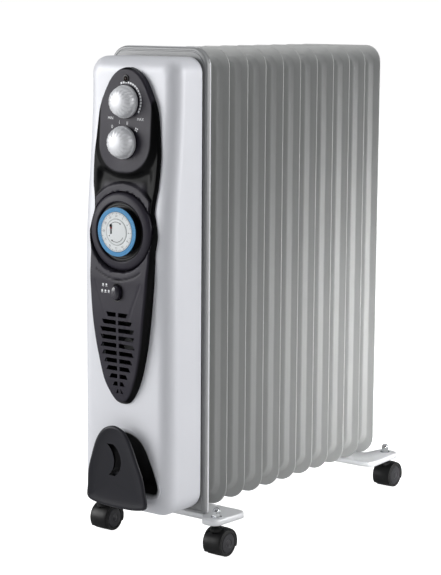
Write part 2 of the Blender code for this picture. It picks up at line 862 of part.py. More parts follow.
def make_lamp():
    """Indicator lens, held by its flange behind the panel."""
    height = face_height(LAMP_HEIGHT)
    face = panel_y(height)
    behind = PANEL_WALL + SEAT_GAP
    profile = (
        (0.0, 0.0012),
        (LAMP_RADIUS * 0.7, 0.0009),
        (LAMP_RADIUS, 0.0),
        (LAMP_RADIUS, -behind),
        (LAMP_FLANGE, -behind),
        (LAMP_FLANGE, -behind - 0.004),
        (0.0, -behind - 0.004),
    )
    lens = turned(profile, (0, face, height), CENTRE_FRONT, 16)
    adopt(lens, "indicator_lens")
    paint(lens, (0.75, 0.28, 0.05), 0.15)


def timer_levels():
    """Heights of the dial and of the bezel, and places along Y of the dial face and of the body's front."""
    height = face_height(TIMER_HEIGHT)
    dial = panel_y(height) - DIAL_PROUD
    return height, height - BEZEL_DROP, dial, dial + DIAL_THICKNESS + GAP


def make_timer():
    """Segment timer: bezel, body, dial with its tappet ring, middle disc and override lever."""
    height, middle, dial, body_front = timer_levels()
    face = panel_y(middle)
    lowest = max(panel_y(middle + share * BEZEL_RADIUS) for share in (-1, -0.5, 0, 0.5, 1))
    inner = BEZEL_RADIUS - BEZEL_WIDTH
    back = face - housing_y(middle - BEZEL_RADIUS) - SEAT_GAP
    profile = (
        (inner, BEZEL_PROUD),
        (BEZEL_RADIUS - 0.0015, BEZEL_PROUD - BEZEL_SLOPE),
        (BEZEL_RADIUS, BEZEL_PROUD - BEZEL_SLOPE - 0.0015),
        (BEZEL_RADIUS, back),
        (inner, back),
    )
    bezel = turned(profile, (0, face, middle), CENTRE_FRONT, 40, ring=True)
    cut(bezel, as_tool(panel_body(2 * SEAT_GAP), "bezel_seat"))
    adopt(bezel, "timer_bezel")
    paint(bezel, (0.03, 0.03, 0.04), 0.3)

    rim = inner - GAP
    lip = lowest - body_front + PANEL_WALL + 0.002
    profile = (
        (0.0, 0.0),
        (rim, 0.0),
        (rim, -lip),
        (TIMER_BODY_RADIUS, -lip),
        (TIMER_BODY_RADIUS, -TIMER_BODY_DEPTH),
        (0.0, -TIMER_BODY_DEPTH),
    )
    body = turned(profile, (0, body_front, middle), CENTRE_FRONT, 32)
    adopt(body, "timer_body")
    paint(body, (0.03, 0.03, 0.035), 0.45)

    spin = empty("timer_axis", (0, dial, height))
    depth = DIAL_THICKNESS
    profile = (
        (DIAL_RADIUS + GAP, 0.0),
        (TAPPET_RADIUS - 0.0008, 0.0),
        (TAPPET_RADIUS, -0.0008),
        (TAPPET_RADIUS, -depth),
        (DIAL_RADIUS + GAP, -depth),
    )
    ring = turned(profile, (0, dial, height), CENTRE_FRONT, 32, ring=True)
    adopt(ring, "timer_tappet_ring", spin)
    paint(ring, (0.11, 0.38, 0.68), 0.4)
    profile = (
        (HUB_RADIUS + GAP, 0.0),
        (DIAL_RADIUS, 0.0),
        (DIAL_RADIUS, -depth),
        (HUB_RADIUS + GAP, -depth),
    )
    plate = turned(profile, (0, dial, height), CENTRE_FRONT, 32, ring=True)
    adopt(plate, "timer_dial", spin)
    paint(plate, (0.76, 0.78, 0.79), 0.4)

    profile = ((0.0, 0.0006), (HUB_RADIUS - 0.001, 0.0006), (HUB_RADIUS, 0.0), (HUB_RADIUS, -depth), (0.0, -depth))
    hub = turned(profile, (0, dial, height), CENTRE_FRONT, 24)
    x, z = OVERRIDE_PLACE
    slot_length, slot_width = OVERRIDE_SLOT
    slot = box((slot_width, 0.005, slot_length), (x, dial, height + z))
    cut(hub, as_tool(slot, "override_slot"))
    adopt(hub, "timer_hub")
    paint(hub, (0.76, 0.78, 0.79), 0.4)

    lever_length = slot_length / 2 - 2 * GAP
    lever = box(
        (slot_width - 2 * GAP, 0.0044, lever_length),
        (x, dial + 0.0001, height + z + slot_length / 4),
    )
    adopt(lever, "timer_override")
    paint(lever, (0.55, 0.04, 0.03), 0.4)


def make_fan_switch():
    """Push switch of the turbo fan: an oval button whose stem slides in the switch behind it."""
    height = face_height(BUTTON_HEIGHT)
    face = panel_y(height)
    front = face - BUTTON_PROUD
    back = face + PANEL_WALL + 0.003
    switch_front = back + BUTTON_TRAVEL + 0.001
    button = prism(oval(BUTTON_SIZE, 0.0, height), front, back)
    bevel = button.modifiers.new("Bevel", "BEVEL")
    bevel.width = 0.0012
    bevel.segments = 1
    bevel.limit_method = "ANGLE"
    bevel.angle_limit = radians(60)
    stem = box((0.004, 0.014, 0.004), (0, back + 0.006, height))
    join(button, as_tool(stem, "button_stem"))
    adopt(button, "fan_switch_button")
    paint(button, (0.05, 0.05, 0.06), 0.3)

    size = (0.022, 0.020, 0.030)
    switch = box(size, (0, switch_front + size[1] / 2, height), 0.001)
    socket = box((0.0046, 0.030, 0.0046), (0, back + 0.009, height))
    cut(switch, as_tool(socket, "switch_socket"))
    arm_front = face + PANEL_WALL + PANEL_SEAT
    for side in (-1, 1):
        run = switch_front + 0.002 - arm_front
        arm = box((0.0015, run, 0.012), (side * 0.0100, arm_front + run / 2, height))
        join(switch, as_tool(arm, f"switch_arm_{side}"))
    adopt(switch, "fan_switch")
    paint(switch, (0.05, 0.05, 0.05), 0.5)


def fan_height():
    """Height of the turbo fan's axis, behind the middle of the grille."""
    return face_height(VENT_TOP - VENT_PITCH * (VENT_ROWS - 1) * 0.42)


def make_turbo_fan():
    """Duct with a spider, motor on the spider, and an axial impeller on the motor's shaft."""
    height = fan_height()
    wide, tall = DUCT_SIZE
    top = height + tall / 2
    low = height - tall / 2
    start = max(housing_y(low), housing_y(top)) + HOUSING_WALL + SEAT_GAP
    depth = DUCT_DEPTH
    back = start + depth
    wall = DUCT_WALL
    duct = box((wide, depth, tall), (0, start + depth / 2, height))
    hollow = box((wide - 2 * wall, depth, tall - 2 * wall), (0, start + depth / 2 - wall, height))
    cut(duct, as_tool(hollow, "duct_hollow"))
    windows = bmesh.new()
    for turn in range(4):
        outer = arc((0, 0), FAN_RADIUS + 0.001, 90 * turn + 10, 90 * turn + 80, 5)
        inner = arc((0, 0), MOTOR_RADIUS + 0.002, 90 * turn + 70, 90 * turn + 20, 2)
        near = [windows.verts.new((x, back - 0.006, height + z)) for x, z in outer + inner]
        far = [windows.verts.new((x, back + 0.006, height + z)) for x, z in outer + inner]
        for index in range(len(near)):
            after = (index + 1) % len(near)
            windows.faces.new((near[index], near[after], far[after], far[index]))
        windows.faces.new(near)
        windows.faces.new(list(reversed(far)))
    cut(duct, as_tool(from_bmesh(windows), "duct_windows"))
    hole = cylinder(FAN_SHAFT * 2, 0.01, (0, back, height), CENTRE_FRONT, 12)
    cut(duct, as_tool(hole, "duct_shaft_hole"))
    adopt(duct, "fan_duct")
    paint(duct, (0.66, 0.67, 0.68), 0.35, 0.9)

    motor_front = back + GAP
    impeller_back = back - wall - 0.0015
    hub_depth = FAN_DEPTH
    tip = impeller_back - hub_depth + 0.002 + SEAT_GAP
    profile = (
        (0.0, motor_front - tip),
        (FAN_SHAFT, motor_front - tip),
        (FAN_SHAFT, 0.0),
        (MOTOR_RADIUS, 0.0),
        (MOTOR_RADIUS, -MOTOR_LENGTH),
        (0.0, -MOTOR_LENGTH),
    )
    motor = turned(profile, (0, motor_front, height), CENTRE_FRONT, 20)
    adopt(motor, "fan_motor")
    paint(motor, (0.35, 0.35, 0.36), 0.35, 0.8)

    spin = empty("fan_axis", (0, impeller_back, height))
    profile = (
        (0.0, hub_depth),
        (FAN_HUB - 0.001, hub_depth),
        (FAN_HUB, hub_depth - 0.001),
        (FAN_HUB, 0.0),
        (FAN_SHAFT + GAP, 0.0),
        (FAN_SHAFT + GAP, hub_depth - 0.002),
        (0.0, hub_depth - 0.002),
    )
    impeller = turned(profile, (0, impeller_back, height), CENTRE_FRONT, 16)
    for blade_number in range(FAN_BLADES):
        angle = 2 * pi * blade_number / FAN_BLADES
        reach = FAN_HUB - 0.001
        span = FAN_RADIUS - reach
        bm = bmesh.new()
        bmesh.ops.create_cube(bm, size=1.0)
        bmesh.ops.scale(bm, verts=bm.verts[:], vec=(span, 0.0012, 0.012))
        for vert in bm.verts:
            y, z = vert.co.y, vert.co.z
            vert.co.y = y * cos(0.6) - z * sin(0.6)
            vert.co.z = y * sin(0.6) + z * cos(0.6)
            vert.co.x += reach + span / 2
        blade = from_bmesh(bm)
        blade.location = (0, impeller_back - hub_depth / 2, height)
        blade.rotation_euler.y = angle
        join(impeller, as_tool(blade, f"fan_blade_{blade_number}"))
    adopt(impeller, "fan_impeller", spin)
    paint(impeller, (0.08, 0.08, 0.09), 0.4)


# ---------------------------------------------------------------------------------------------------
# Electrical pieces at the foot of the housing, and the cord store


def gland_place():
    return (-HOUSING_WIDTH / 2, FIRST_FIN_Y - HOUSING_BACK - 0.030, FACE_BOTTOM + 0.075)


def make_small_electrics():
    """Tip switch, terminal block and cord gland."""
    plate = FIRST_FIN_Y - PLATE_FRONT
    size = (0.022, 0.014, 0.034)
    switch = box(size, (0.046, plate - SEAT_GAP - size[1] / 2, FACE_BOTTOM + 0.045), 0.001)
    adopt(switch, "tip_over_switch")
    paint(switch, (0.06, 0.06, 0.06), 0.5)

    size = (0.026, 0.015, 0.044)
    block = box(size, (-0.048, plate - SEAT_GAP - size[1] / 2, FACE_BOTTOM + 0.105), 0.001)
    notches = bmesh.new()
    for level in (-1, 0, 1):
        made = bmesh.ops.create_cube(notches, size=1.0)["verts"]
        bmesh.ops.scale(notches, verts=made, vec=(0.016, 0.008, 0.008))
        place = (-0.048, plate - SEAT_GAP - size[1], FACE_BOTTOM + 0.105 + level * 0.013)
        bmesh.ops.translate(notches, verts=made, vec=place)
    cut(block, as_tool(from_bmesh(notches), "terminal_notches"))
    adopt(block, "terminal_block")
    paint(block, (0.65, 0.63, 0.56), 0.5)

    x, y, z = gland_place()
    wall = HOUSING_WALL
    profile = (
        (GLAND_RADIUS * 0.55, GLAND_PROUD),
        (GLAND_RADIUS, GLAND_PROUD),
        (GLAND_RADIUS, -wall - 0.0005),
        (GLAND_RADIUS + 0.002, -wall - 0.0005),
        (GLAND_RADIUS + 0.002, -wall - 0.004),
        (GLAND_RADIUS * 0.55, -wall - 0.004),
    )
    gland = turned(profile, (x, y, z), (0, -pi / 2, 0), 16, ring=True)
    adopt(gland, "cord_gland")
    paint(gland, (0.04, 0.04, 0.045), 0.5)


def make_cord_store():
    """Dished recess with a stem, and the bell shaped plate that the cord is wound behind."""
    front = housing_y(HOUSING_BOTTOM)
    floor = front + RECESS_DEPTH
    half = recess_half(-RECESS_WALL)
    deep = recess_half(-RECESS_WALL - 0.004)
    loops = [
        [(x, front + 0.0002, z) for x, z in half],
        [(x, floor, z) for x, z in deep],
    ]
    dish = mirrored_shell(loops, RECESS_WALL)
    stem_height = FIN_BOTTOM + WRAP_BOTTOM + STEM_RISE
    plate_back = front - WRAP_STAND_OFF
    length = floor + RECESS_WALL / 2 - (plate_back + GAP)
    middle = (0, plate_back + GAP + length / 2, stem_height)
    stem = cylinder(STEM_RADIUS, length, middle, CENTRE_FRONT, 24)
    join(dish, as_tool(stem, "store_stem"))
    adopt(dish, "cord_wrap_base")
    paint(dish, (0.03, 0.03, 0.035), 0.5)

    plate = prism(full_outline(wrap_half()), plate_back - WRAP_PLATE, plate_back)
    bevel = plate.modifiers.new("Bevel", "BEVEL")
    bevel.width = 0.001
    bevel.segments = 1
    bevel.limit_method = "ANGLE"
    bevel.angle_limit = radians(60)
    wide, narrow = SLOT_RADII
    slot_height = FIN_BOTTOM + WRAP_BOTTOM + SLOT_RISE
    outer = arc((-SLOT_LEFT, slot_height), wide, -62, 62, 8)
    inner = arc((-SLOT_LEFT - 3 * (wide - narrow), slot_height), narrow, 62, -62, 8)
    slot = prism(outer + inner, plate_back - 0.02, plate_back + 0.005)
    cut(plate, as_tool(slot, "plate_slot"))
    adopt(plate, "cord_wrap_plate")
    paint(plate, (0.035, 0.035, 0.045), 0.4)


# ---------------------------------------------------------------------------------------------------
# Feet and casters


def rounded(corners, radii, steps=3):
    """Round the corners of a polygon of (x, y) points."""
    points = []
    count = len(corners)
    for index, corner in enumerate(corners):
        here, radius = Vector(corner), radii[index]
        before = (Vector(corners[index - 1]) - here).normalized()
        after = (Vector(corners[(index + 1) % count]) - here).normalized()
        for step in range(steps + 1):
            t = step / steps
            a = here + before * radius * (1 - t)
            b = here + after * radius * t
            points.append(tuple(a * (1 - t) + b * t))
    return points


def make_foot(name, bar, caster, lobe, forward):
    """Sheet foot under the fins: a bar across them, with a tab for a caster at each end."""
    low, high = bar
    x, y = caster
    inner = x - lobe[0]
    outer = x + lobe[1]
    tip = y + forward * lobe[2]
    near, far = (low, high) if forward < 0 else (high, low)
    right = [(inner - 0.008, near), (inner, tip), (outer - 0.004, tip), (outer, far)]
    left = [(-px, py) for px, py in reversed(right)]
    corners = right + left
    outline = rounded(corners, FOOT_CORNERS + FOOT_CORNERS[::-1])
    bm = bmesh.new()
    top = [bm.verts.new((px, py, FOOT_TOP)) for px, py in outline]
    skirt = [bm.verts.new((px, py, FOOT_TOP - FOOT_FLANGE)) for px, py in outline]
    for index in range(len(top)):
        after = (index + 1) % len(top)
        bm.faces.new((skirt[index], skirt[after], top[after], top[index]))
    bm.faces.new(top)
    foot = from_bmesh_open(bm)
    solidify = foot.modifiers.new("Solidify", "SOLIDIFY")
    solidify.thickness = FOOT_SHEET
    solidify.offset = -1.0
    solidify.use_even_offset = True
    for side in (-1, 1):
        hole = cylinder(STEM_PIN_RADIUS + 2 * GAP, 0.02, (side * x, y, FOOT_TOP), vertices=12)
        cut(foot, as_tool(hole, f"{name}_hole_{side}"))
    hole = cylinder(HOOK_RADIUS + 2 * GAP, 0.02, (hook_place()[0], (low + high) / 2, FOOT_TOP), vertices=12)
    cut(foot, as_tool(hole, name + "_hook_hole"))
    adopt(foot, name)
    paint(foot, (0.70, 0.71, 0.72), 0.35)


def hook_place():
    """Radius of the hook's bend about the low header, which is also where its leg comes down."""
    return (HEADER_RADIUS + GAP + HOOK_RADIUS + GAP,)


def make_hook(name, y):
    """Hook bolt round the low header, and the wing nut that draws the foot up to the fins."""
    reach = hook_place()[0]
    over = arc((0, HEADER_LOW), reach, 150, 0, 8)
    low = FOOT_BOTTOM - 0.008
    route = [(x, y, z) for x, z in over] + [(reach, y, low)]
    hook = tube(route, HOOK_RADIUS, name, 1)
    adopt(hook, name + "_hook_bolt")
    paint(hook, (0.6, 0.6, 0.6), 0.3, 1.0)

    top = FOOT_BOTTOM - GAP
    bore = HOOK_RADIUS + GAP
    profile = ((bore, 0.0), (0.0055, 0.0), (0.0045, -0.006), (bore, -0.006))
    nut = turned(profile, (reach, y, top), steps=16, ring=True)
    for side in (-1, 1):
        wing = box((0.007, 0.0016, 0.0065), (reach + side * 0.0078, y, top - 0.0035))
        join(nut, as_tool(wing, f"{name}_wing_{side}"))
    adopt(nut, name + "_wing_nut")
    paint(nut, (0.6, 0.6, 0.6), 0.3, 1.0)


def make_stem_nut(name, x, y):
    """Domed nut on the stem that the caster swivels on."""
    low = AXLE_HEIGHT + 0.0065
    top = FOOT_TOP + GAP
    radius = STEM_PIN_RADIUS
    profile = (
        (0.0, NUT_HEIGHT),
        (NUT_RADIUS * 0.55, NUT_HEIGHT - 0.0014),
        (NUT_RADIUS * 0.78, 0.0058),
        (NUT_RADIUS * 0.80, 0.0012),
        (NUT_RADIUS * 1.15, 0.0011),
        (NUT_RADIUS * 1.15, 0.0),
        (radius, 0.0),
        (radius, low - top),
        (0.0, low - top),
    )
    nut = turned(profile, (x, y, top), steps=10)
    hexagon = cylinder(NUT_RADIUS, 0.0046, (x, y, top + 0.0034), vertices=6)
    join(nut, as_tool(hexagon, name + "_hexagon"))
    adopt(nut, name)
    paint(nut, (0.8, 0.8, 0.8), 0.12, 1.0)


def sector(radius, start, end, steps, inner=None):
    """A pie or ring sector in (y, z), as an outline."""
    outer = arc((0, 0), radius, start, end, steps)
    if inner is None:
        return [*outer, (0.0, 0.0)]
    return outer + arc((0, 0), inner, end, start, steps)


def along_x(outline, half_width):
    """Carry an outline in (y, z) along X, about the middle."""
    bm = bmesh.new()
    near = [bm.verts.new((-half_width, y, z)) for y, z in outline]
    far = [bm.verts.new((half_width, y, z)) for y, z in outline]
    for index in range(len(outline)):
        after = (index + 1) % len(outline)
        bm.faces.new((near[index], near[after], far[after], far[index]))
    bm.faces.new(near)
    bm.faces.new(list(reversed(far)))
    return from_bmesh(bm, 35)


def make_caster(name, x, y):
    """Twin wheel caster: a hood with its web and axle, and two wheels that turn on it."""
    axle_y = y + CASTER_TRAIL
    swivel = empty(name + "_swivel_axis", (x, y, FOOT_BOTTOM))
    half = CASTER_WEB / 2 + GAP + WHEEL_WIDTH
    inner = WHEEL_RADIUS + HOOD_GAP
    hood = along_x(sector(HOOD_RADIUS, -22, 160, 11, inner), half)
    hood.location = (x, axle_y, AXLE_HEIGHT)
    web = along_x(sector(inner + 0.0005, -21, 159, 9), CASTER_WEB / 2)
    web.location = hood.location
    join(hood, as_tool(web, name + "_web"))
    boss = cylinder(0.006, CASTER_WEB - 0.0004, hood.location, (0, pi / 2, 0), 12)
    join(hood, as_tool(boss, name + "_boss"))
    axle = cylinder(AXLE_RADIUS, 2 * (half - 0.0025), hood.location, (0, pi / 2, 0), 12)
    join(hood, as_tool(axle, name + "_axle"))
    neck_low = AXLE_HEIGHT + inner
    neck_top = FOOT_BOTTOM - GAP
    neck = cylinder(NECK_RADIUS, neck_top - neck_low, (x, y, (neck_top + neck_low) / 2), vertices=12)
    join(hood, as_tool(neck, name + "_neck"))
    bore_low = AXLE_HEIGHT + 0.006
    bore_top = neck_top + 0.01
    middle = (x, y, (bore_low + bore_top) / 2)
    bore = cylinder(STEM_PIN_RADIUS + GAP, bore_top - bore_low, middle, vertices=10)
    cut(hood, as_tool(bore, name + "_bore"))
    adopt(hood, name + "_hood", swivel)
    paint(hood, (0.012, 0.012, 0.014), 0.35)
    for side, label in ((-1, "left"), (1, "right")):
        face = CASTER_WEB / 2 + GAP
        bore_radius = AXLE_RADIUS + GAP
        deep = half - face - 0.002
        disc = WHEEL_RADIUS * 0.78
        profile = (
            (0.0, WHEEL_WIDTH - 0.0006),
            (disc, WHEEL_WIDTH - 0.0006),
            (WHEEL_RADIUS - 0.001, WHEEL_WIDTH),
            (WHEEL_RADIUS, WHEEL_WIDTH - 0.001),
            (WHEEL_RADIUS, 0.0),
            (bore_radius, 0.0),
            (bore_radius, deep),
            (0.0, deep),
        )
        wheel = turned(
            profile,
            (x + side * face, axle_y, AXLE_HEIGHT),
            (0, side * pi / 2, 0),
            WHEEL_SEGMENTS,
            turn=pi / WHEEL_SEGMENTS,
        )
        adopt(wheel, f"{name}_{label}_wheel", swivel)
        paint(wheel, (0.02, 0.02, 0.022), 0.45)


def make_running_gear():
    """Both feet with their hook bolts, and the four casters with their stem nuts."""
    front_middle = FIRST_FIN_Y + FIN_PITCH / 2
    rear_middle = LAST_FIN_Y - FIN_PITCH / 2
    front_bar = (front_middle - FOOT_BAR / 2, front_middle + FOOT_BAR / 2)
    rear_bar = (rear_middle - FOOT_BAR / 2, rear_middle + FOOT_BAR / 2)
    front_caster = (FRONT_CASTER[0], FIRST_FIN_Y + FRONT_CASTER[1])
    rear_caster = (REAR_CASTER[0], LAST_FIN_Y + REAR_CASTER[1])
    make_foot("front_foot", front_bar, front_caster, FRONT_LOBE, -1)
    make_foot("rear_foot", rear_bar, rear_caster, REAR_LOBE, 1)
    make_hook("front", front_middle)
    make_hook("rear", rear_middle)
    for end, (x, y) in (("front", front_caster), ("rear", rear_caster)):
        for side, label in ((-1, "left"), (1, "right")):
            name = f"{end}_{label}_caster"
            make_caster(name, side * x, y)
            make_stem_nut(name + "_nut", side * x, y)


make_fins()
make_headers()
make_heating_element()
make_end_plate()
make_housing()
make_panel()
make_knob("thermostat_knob", THERMOSTAT_HEIGHT, -40)
make_knob("selector_knob", SELECTOR_HEIGHT, -34)
make_rotary_unit("thermostat", THERMOSTAT_HEIGHT, (0.036, 0.022, 0.030), (0.5, 0.45, 0.35))
make_rotary_unit("selector_switch", SELECTOR_HEIGHT, (0.040, 0.024, 0.034), (0.06, 0.06, 0.06))
make_lamp()
make_timer()
make_fan_switch()
make_turbo_fan()
make_small_electrics()
make_cord_store()
make_running_gear()
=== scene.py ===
from math import atan2, cos, hypot, pi, radians, sin

import bmesh
import bpy
from mathutils import Matrix, Vector


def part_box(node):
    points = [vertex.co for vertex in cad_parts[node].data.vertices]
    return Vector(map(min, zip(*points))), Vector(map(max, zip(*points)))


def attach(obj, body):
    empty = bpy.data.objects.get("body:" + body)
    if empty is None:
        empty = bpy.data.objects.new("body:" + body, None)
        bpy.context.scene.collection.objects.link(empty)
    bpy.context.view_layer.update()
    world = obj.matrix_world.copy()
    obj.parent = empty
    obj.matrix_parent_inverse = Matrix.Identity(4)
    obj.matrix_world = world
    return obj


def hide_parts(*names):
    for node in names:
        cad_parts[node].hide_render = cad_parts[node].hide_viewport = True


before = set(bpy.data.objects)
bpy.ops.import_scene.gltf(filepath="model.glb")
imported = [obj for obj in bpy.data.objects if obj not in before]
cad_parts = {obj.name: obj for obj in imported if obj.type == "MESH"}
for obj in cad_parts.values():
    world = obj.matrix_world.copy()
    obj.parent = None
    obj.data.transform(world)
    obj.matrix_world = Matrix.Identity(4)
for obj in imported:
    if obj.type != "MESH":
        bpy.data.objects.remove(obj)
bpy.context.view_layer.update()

bl_info = {
    "name": "Oil filled radiator",
    "version": (1, 0, 0),
    "blender": (4, 5, 0),
    "location": "View3D > Sidebar > Heater",
    "description": "Builds the visible pieces of an oil filled radiator on its CAD frame",
    "category": "Add Mesh",
}

MM = 0.001


def linear(code):
    """Turn an sRGB hex colour into linear red, green and blue."""
    channels = [int(code[place : place + 2], 16) / 255 for place in (1, 3, 5)]
    return tuple(c / 12.92 if c <= 0.04045 else ((c + 0.055) / 1.055) ** 2.4 for c in channels)


def centre(node):
    """Middle of a CAD node at rest."""
    low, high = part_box(node)
    return Vector([(a + b) / 2 for a, b in zip(low, high)])


# Places that the CAD frame gives
FIN_LOW, FIN_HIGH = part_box("fin_01")[0][2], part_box("fin_01")[1][2]
FIN_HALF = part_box("fin_01")[1][0]
FIRST_FIN = centre("fin_01").y
LAST_FIN = centre("fin_11").y
PITCH = (LAST_FIN - FIRST_FIN) / 10
PLATE_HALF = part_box("front_end_plate")[1][0]
PLATE_Y, PLATE_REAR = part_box("front_end_plate")[0][1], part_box("front_end_plate")[1][1]
SHELL_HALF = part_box("housing_shell")[1][0]
SHELL_LOW, SHELL_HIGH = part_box("housing_shell")[0][2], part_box("housing_shell")[1][2]
SHELL_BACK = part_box("housing_shell")[1][1]
FACE_LOW = FIN_LOW + 0.017
# Height of the face over which the offsets below are stated
FACE_SPAN = 0.575
FACE_SCALE = (SHELL_HIGH - FACE_LOW) / FACE_SPAN
DIAL = Vector((0.0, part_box("timer_tappet_ring")[0][1], centre("timer_tappet_ring").z))
BEZEL = Vector((0.0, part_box("timer_bezel")[0][1], centre("timer_bezel").z))
BEZEL_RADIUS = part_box("timer_bezel")[1][0]
FRONT_VIEW = (0.0, -1.0, 0.0)
# Depths between which a tool cuts through the housing's face
HOLE = (SHELL_BACK - 0.11, SHELL_BACK - 0.03)
# Foot of the cord plate, and the radius of the housing's front edges
WRAP_LOW = FIN_LOW + 0.014
EDGE_ROUND = 0.020


# ---------------------------------------------------------------------------------------------------
# Modelling


def start(kind, **settings):
    """Add a primitive with nothing else selected."""
    if bpy.context.object and bpy.context.object.mode != "OBJECT":
        bpy.ops.object.mode_set(mode="OBJECT")
    bpy.ops.object.select_all(action="DESELECT")
    kind(**settings)
    return bpy.context.object


def select(*items):
    """Select these objects alone and make the first one active."""
    bpy.ops.object.select_all(action="DESELECT")
    for item in items:
        item.select_set(True)
    bpy.context.view_layer.objects.active = items[0]


def edit(item, kind="VERT"):
    """Open an object in edit mode with all of it selected."""
    select(item)
    bpy.ops.object.mode_set(mode="EDIT")
    bpy.ops.mesh.select_mode(type=kind)
    bpy.ops.mesh.select_all(action="SELECT")


def smooth(angle):
    """Shade the selected objects smooth up to an angle in degrees."""
    bpy.ops.object.shade_smooth_by_angle(angle=radians(angle))


def tidy(item, facing=None, angle=35):
    """Merge doubles, turn the faces outwards and shade smooth up to an angle."""
    edit(item)
    bpy.ops.mesh.remove_doubles(threshold=2e-6)
    bpy.ops.mesh.dissolve_degenerate(threshold=1e-7)
    bpy.ops.mesh.select_all(action="SELECT")
    bpy.ops.mesh.normals_make_consistent(inside=False)
    if facing is not None:
        mesh = bmesh.from_edit_mesh(item.data)
        if sum((face.normal.dot(Vector(facing)) * face.calc_area() for face in mesh.faces), 0.0) < 0:
            bpy.ops.mesh.flip_normals()
    bpy.ops.object.mode_set(mode="OBJECT")
    smooth(angle)
    return item


def skin(name, rings, closed=True, facing=None, angle=35):
    """A surface through rings of points: a grid whose corners are moved to the points."""
    rows = [list(ring) + [ring[0]] if closed else list(ring) for ring in rings]
    item = start(
        bpy.ops.mesh.primitive_grid_add, x_subdivisions=len(rows[0]) - 1, y_subdivisions=len(rows) - 1, size=1
    )
    item.name = item.data.name = name
    for corner, point in zip(item.data.vertices, [point for row in rows for point in row]):
        corner.co = point
    return tidy(item, facing, angle)


def turned(name, profile, middle, axis="FRONT", steps=48, angle=35):
    """A turned piece: (radius, height) rows round an axis that points out of the front, up or sideways."""
    rings = []
    for radius, height in profile:
        ring = []
        for step in range(steps):
            turn = 2 * pi * step / steps
            across, up = radius * cos(turn), radius * sin(turn)
            place = {
                "FRONT": (across, -height, up), "UP": (across, up, height), "SIDE": (height, across, up),
            }[axis]
            ring.append(Vector(middle) + Vector(place))
        rings.append(ring)
    return skin(name, rings, angle=angle)


def modify(item, kind, **settings):
    """Add a modifier with its settings and apply it."""
    select(item)
    modifier = item.modifiers.new(kind.title(), kind)
    for key, value in settings.items():
        setattr(modifier, key, value)
    bpy.ops.object.modifier_apply(modifier=modifier.name)
    return item


def cut(item, tool, angle=35, whole=False):
    """Take the tool's volume out of a piece and remove the tool."""
    modify(item, "BOOLEAN", object=tool, operation="DIFFERENCE", solver="EXACT", use_self=whole)
    bpy.data.objects.remove(tool, do_unlink=True)
    smooth(angle)
    return item


def joined(name, items, angle=None):
    """Join several objects into the first one."""
    select(*items)
    bpy.ops.object.join()
    items[0].name = items[0].data.name = name
    if angle:
        smooth(angle)
    return items[0]


def copied(item, name, move):
    """A copy with its own mesh, moved in its mesh."""
    twin = item.copy()
    twin.data = item.data.copy()
    twin.name = twin.data.name = name
    bpy.context.scene.collection.objects.link(twin)
    twin.data.transform(Matrix.Translation(move))
    return twin


def arc(middle, radius, first, last, steps):
    """Points along an arc in two dimensions, with angles in degrees."""
    return [
        (
            middle[0] + radius * cos(radians(first + (last - first) * step / steps)),
            middle[1] + radius * sin(radians(first + (last - first) * step / steps)),
        )
        for step in range(steps + 1)
    ]


def spline(rows, steps):
    """A smooth curve through (across, up) rows that meets the middle line squarely at both ends."""
    rows = [Vector(row) for row in rows]
    chain = [Vector((-rows[1].x, rows[1].y)), *rows, Vector((-rows[-2].x, rows[-2].y))]
    points = []
    for index in range(1, len(chain) - 2):
        p0, p1, p2, p3 = chain[index - 1 : index + 3]
        for step in range(steps):
            t = step / steps
            bend = (p0 * 2 - p1 * 5 + p2 * 4 - p3) * t * t + (p1 * 3 - p0 - p2 * 3 + p3) * t * t * t
            points.append((p1 * 2 + (p2 - p0) * t + bend) / 2)
    return points + [rows[-1]]


def rounded_frame(half, low, high, low_radius, high_radius, steps=8, rows=()):
    """Closed outline (x, z) of an upright rounded rectangle, from the right foot corner round."""
    low_radius, high_radius = max(low_radius, 1e-5), max(high_radius, 1e-5)
    right = arc((half - low_radius, low + low_radius), low_radius, -90, 0, steps)
    right += [(half, row) for row in rows]
    right += arc((half - high_radius, high - high_radius), high_radius, 0, 90, steps)
    return right + [(-x, z) for x, z in reversed(right)]


def between(table, value, smooth=True):
    """Read a value between the rows of a table of (place, value)."""
    if value <= table[0][0]:
        return table[0][1]
    for (low, first), (high, last) in zip(table, table[1:]):
        if value <= high:
            share = (value - low) / (high - low)
            if smooth:
                share = share * share * (3 - 2 * share)
            return first + (last - first) * share
    return table[-1][1]


def ease(value):
    """A soft step from 0 to 1."""
    value = min(max(value, 0.0), 1.0)
    return value * value * (3 - 2 * value)


def finished(item, body, slot, looks, *nodes, second=None):
    """Give a piece its finishes, parent it to the empty of its body and hide the CAD nodes it stands for; the
    slot is not used.
    """
    clothe(item, looks, second)
    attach(item, body)
    if nodes:
        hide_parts(*nodes)
    return item


# ---------------------------------------------------------------------------------------------------
# Materials


def add_node(material, kind, inputs=None, **settings):
    """Add a shader node, set its properties, and give its sockets values or links."""
    node = material.node_tree.nodes.new(kind)
    for key, value in settings.items():
        setattr(node, key, value)
    for key, value in (inputs or {}).items():
        if isinstance(value, bpy.types.NodeSocket):
            material.node_tree.links.new(value, node.inputs[key])
        else:
            node.inputs[key].default_value = value
    return node


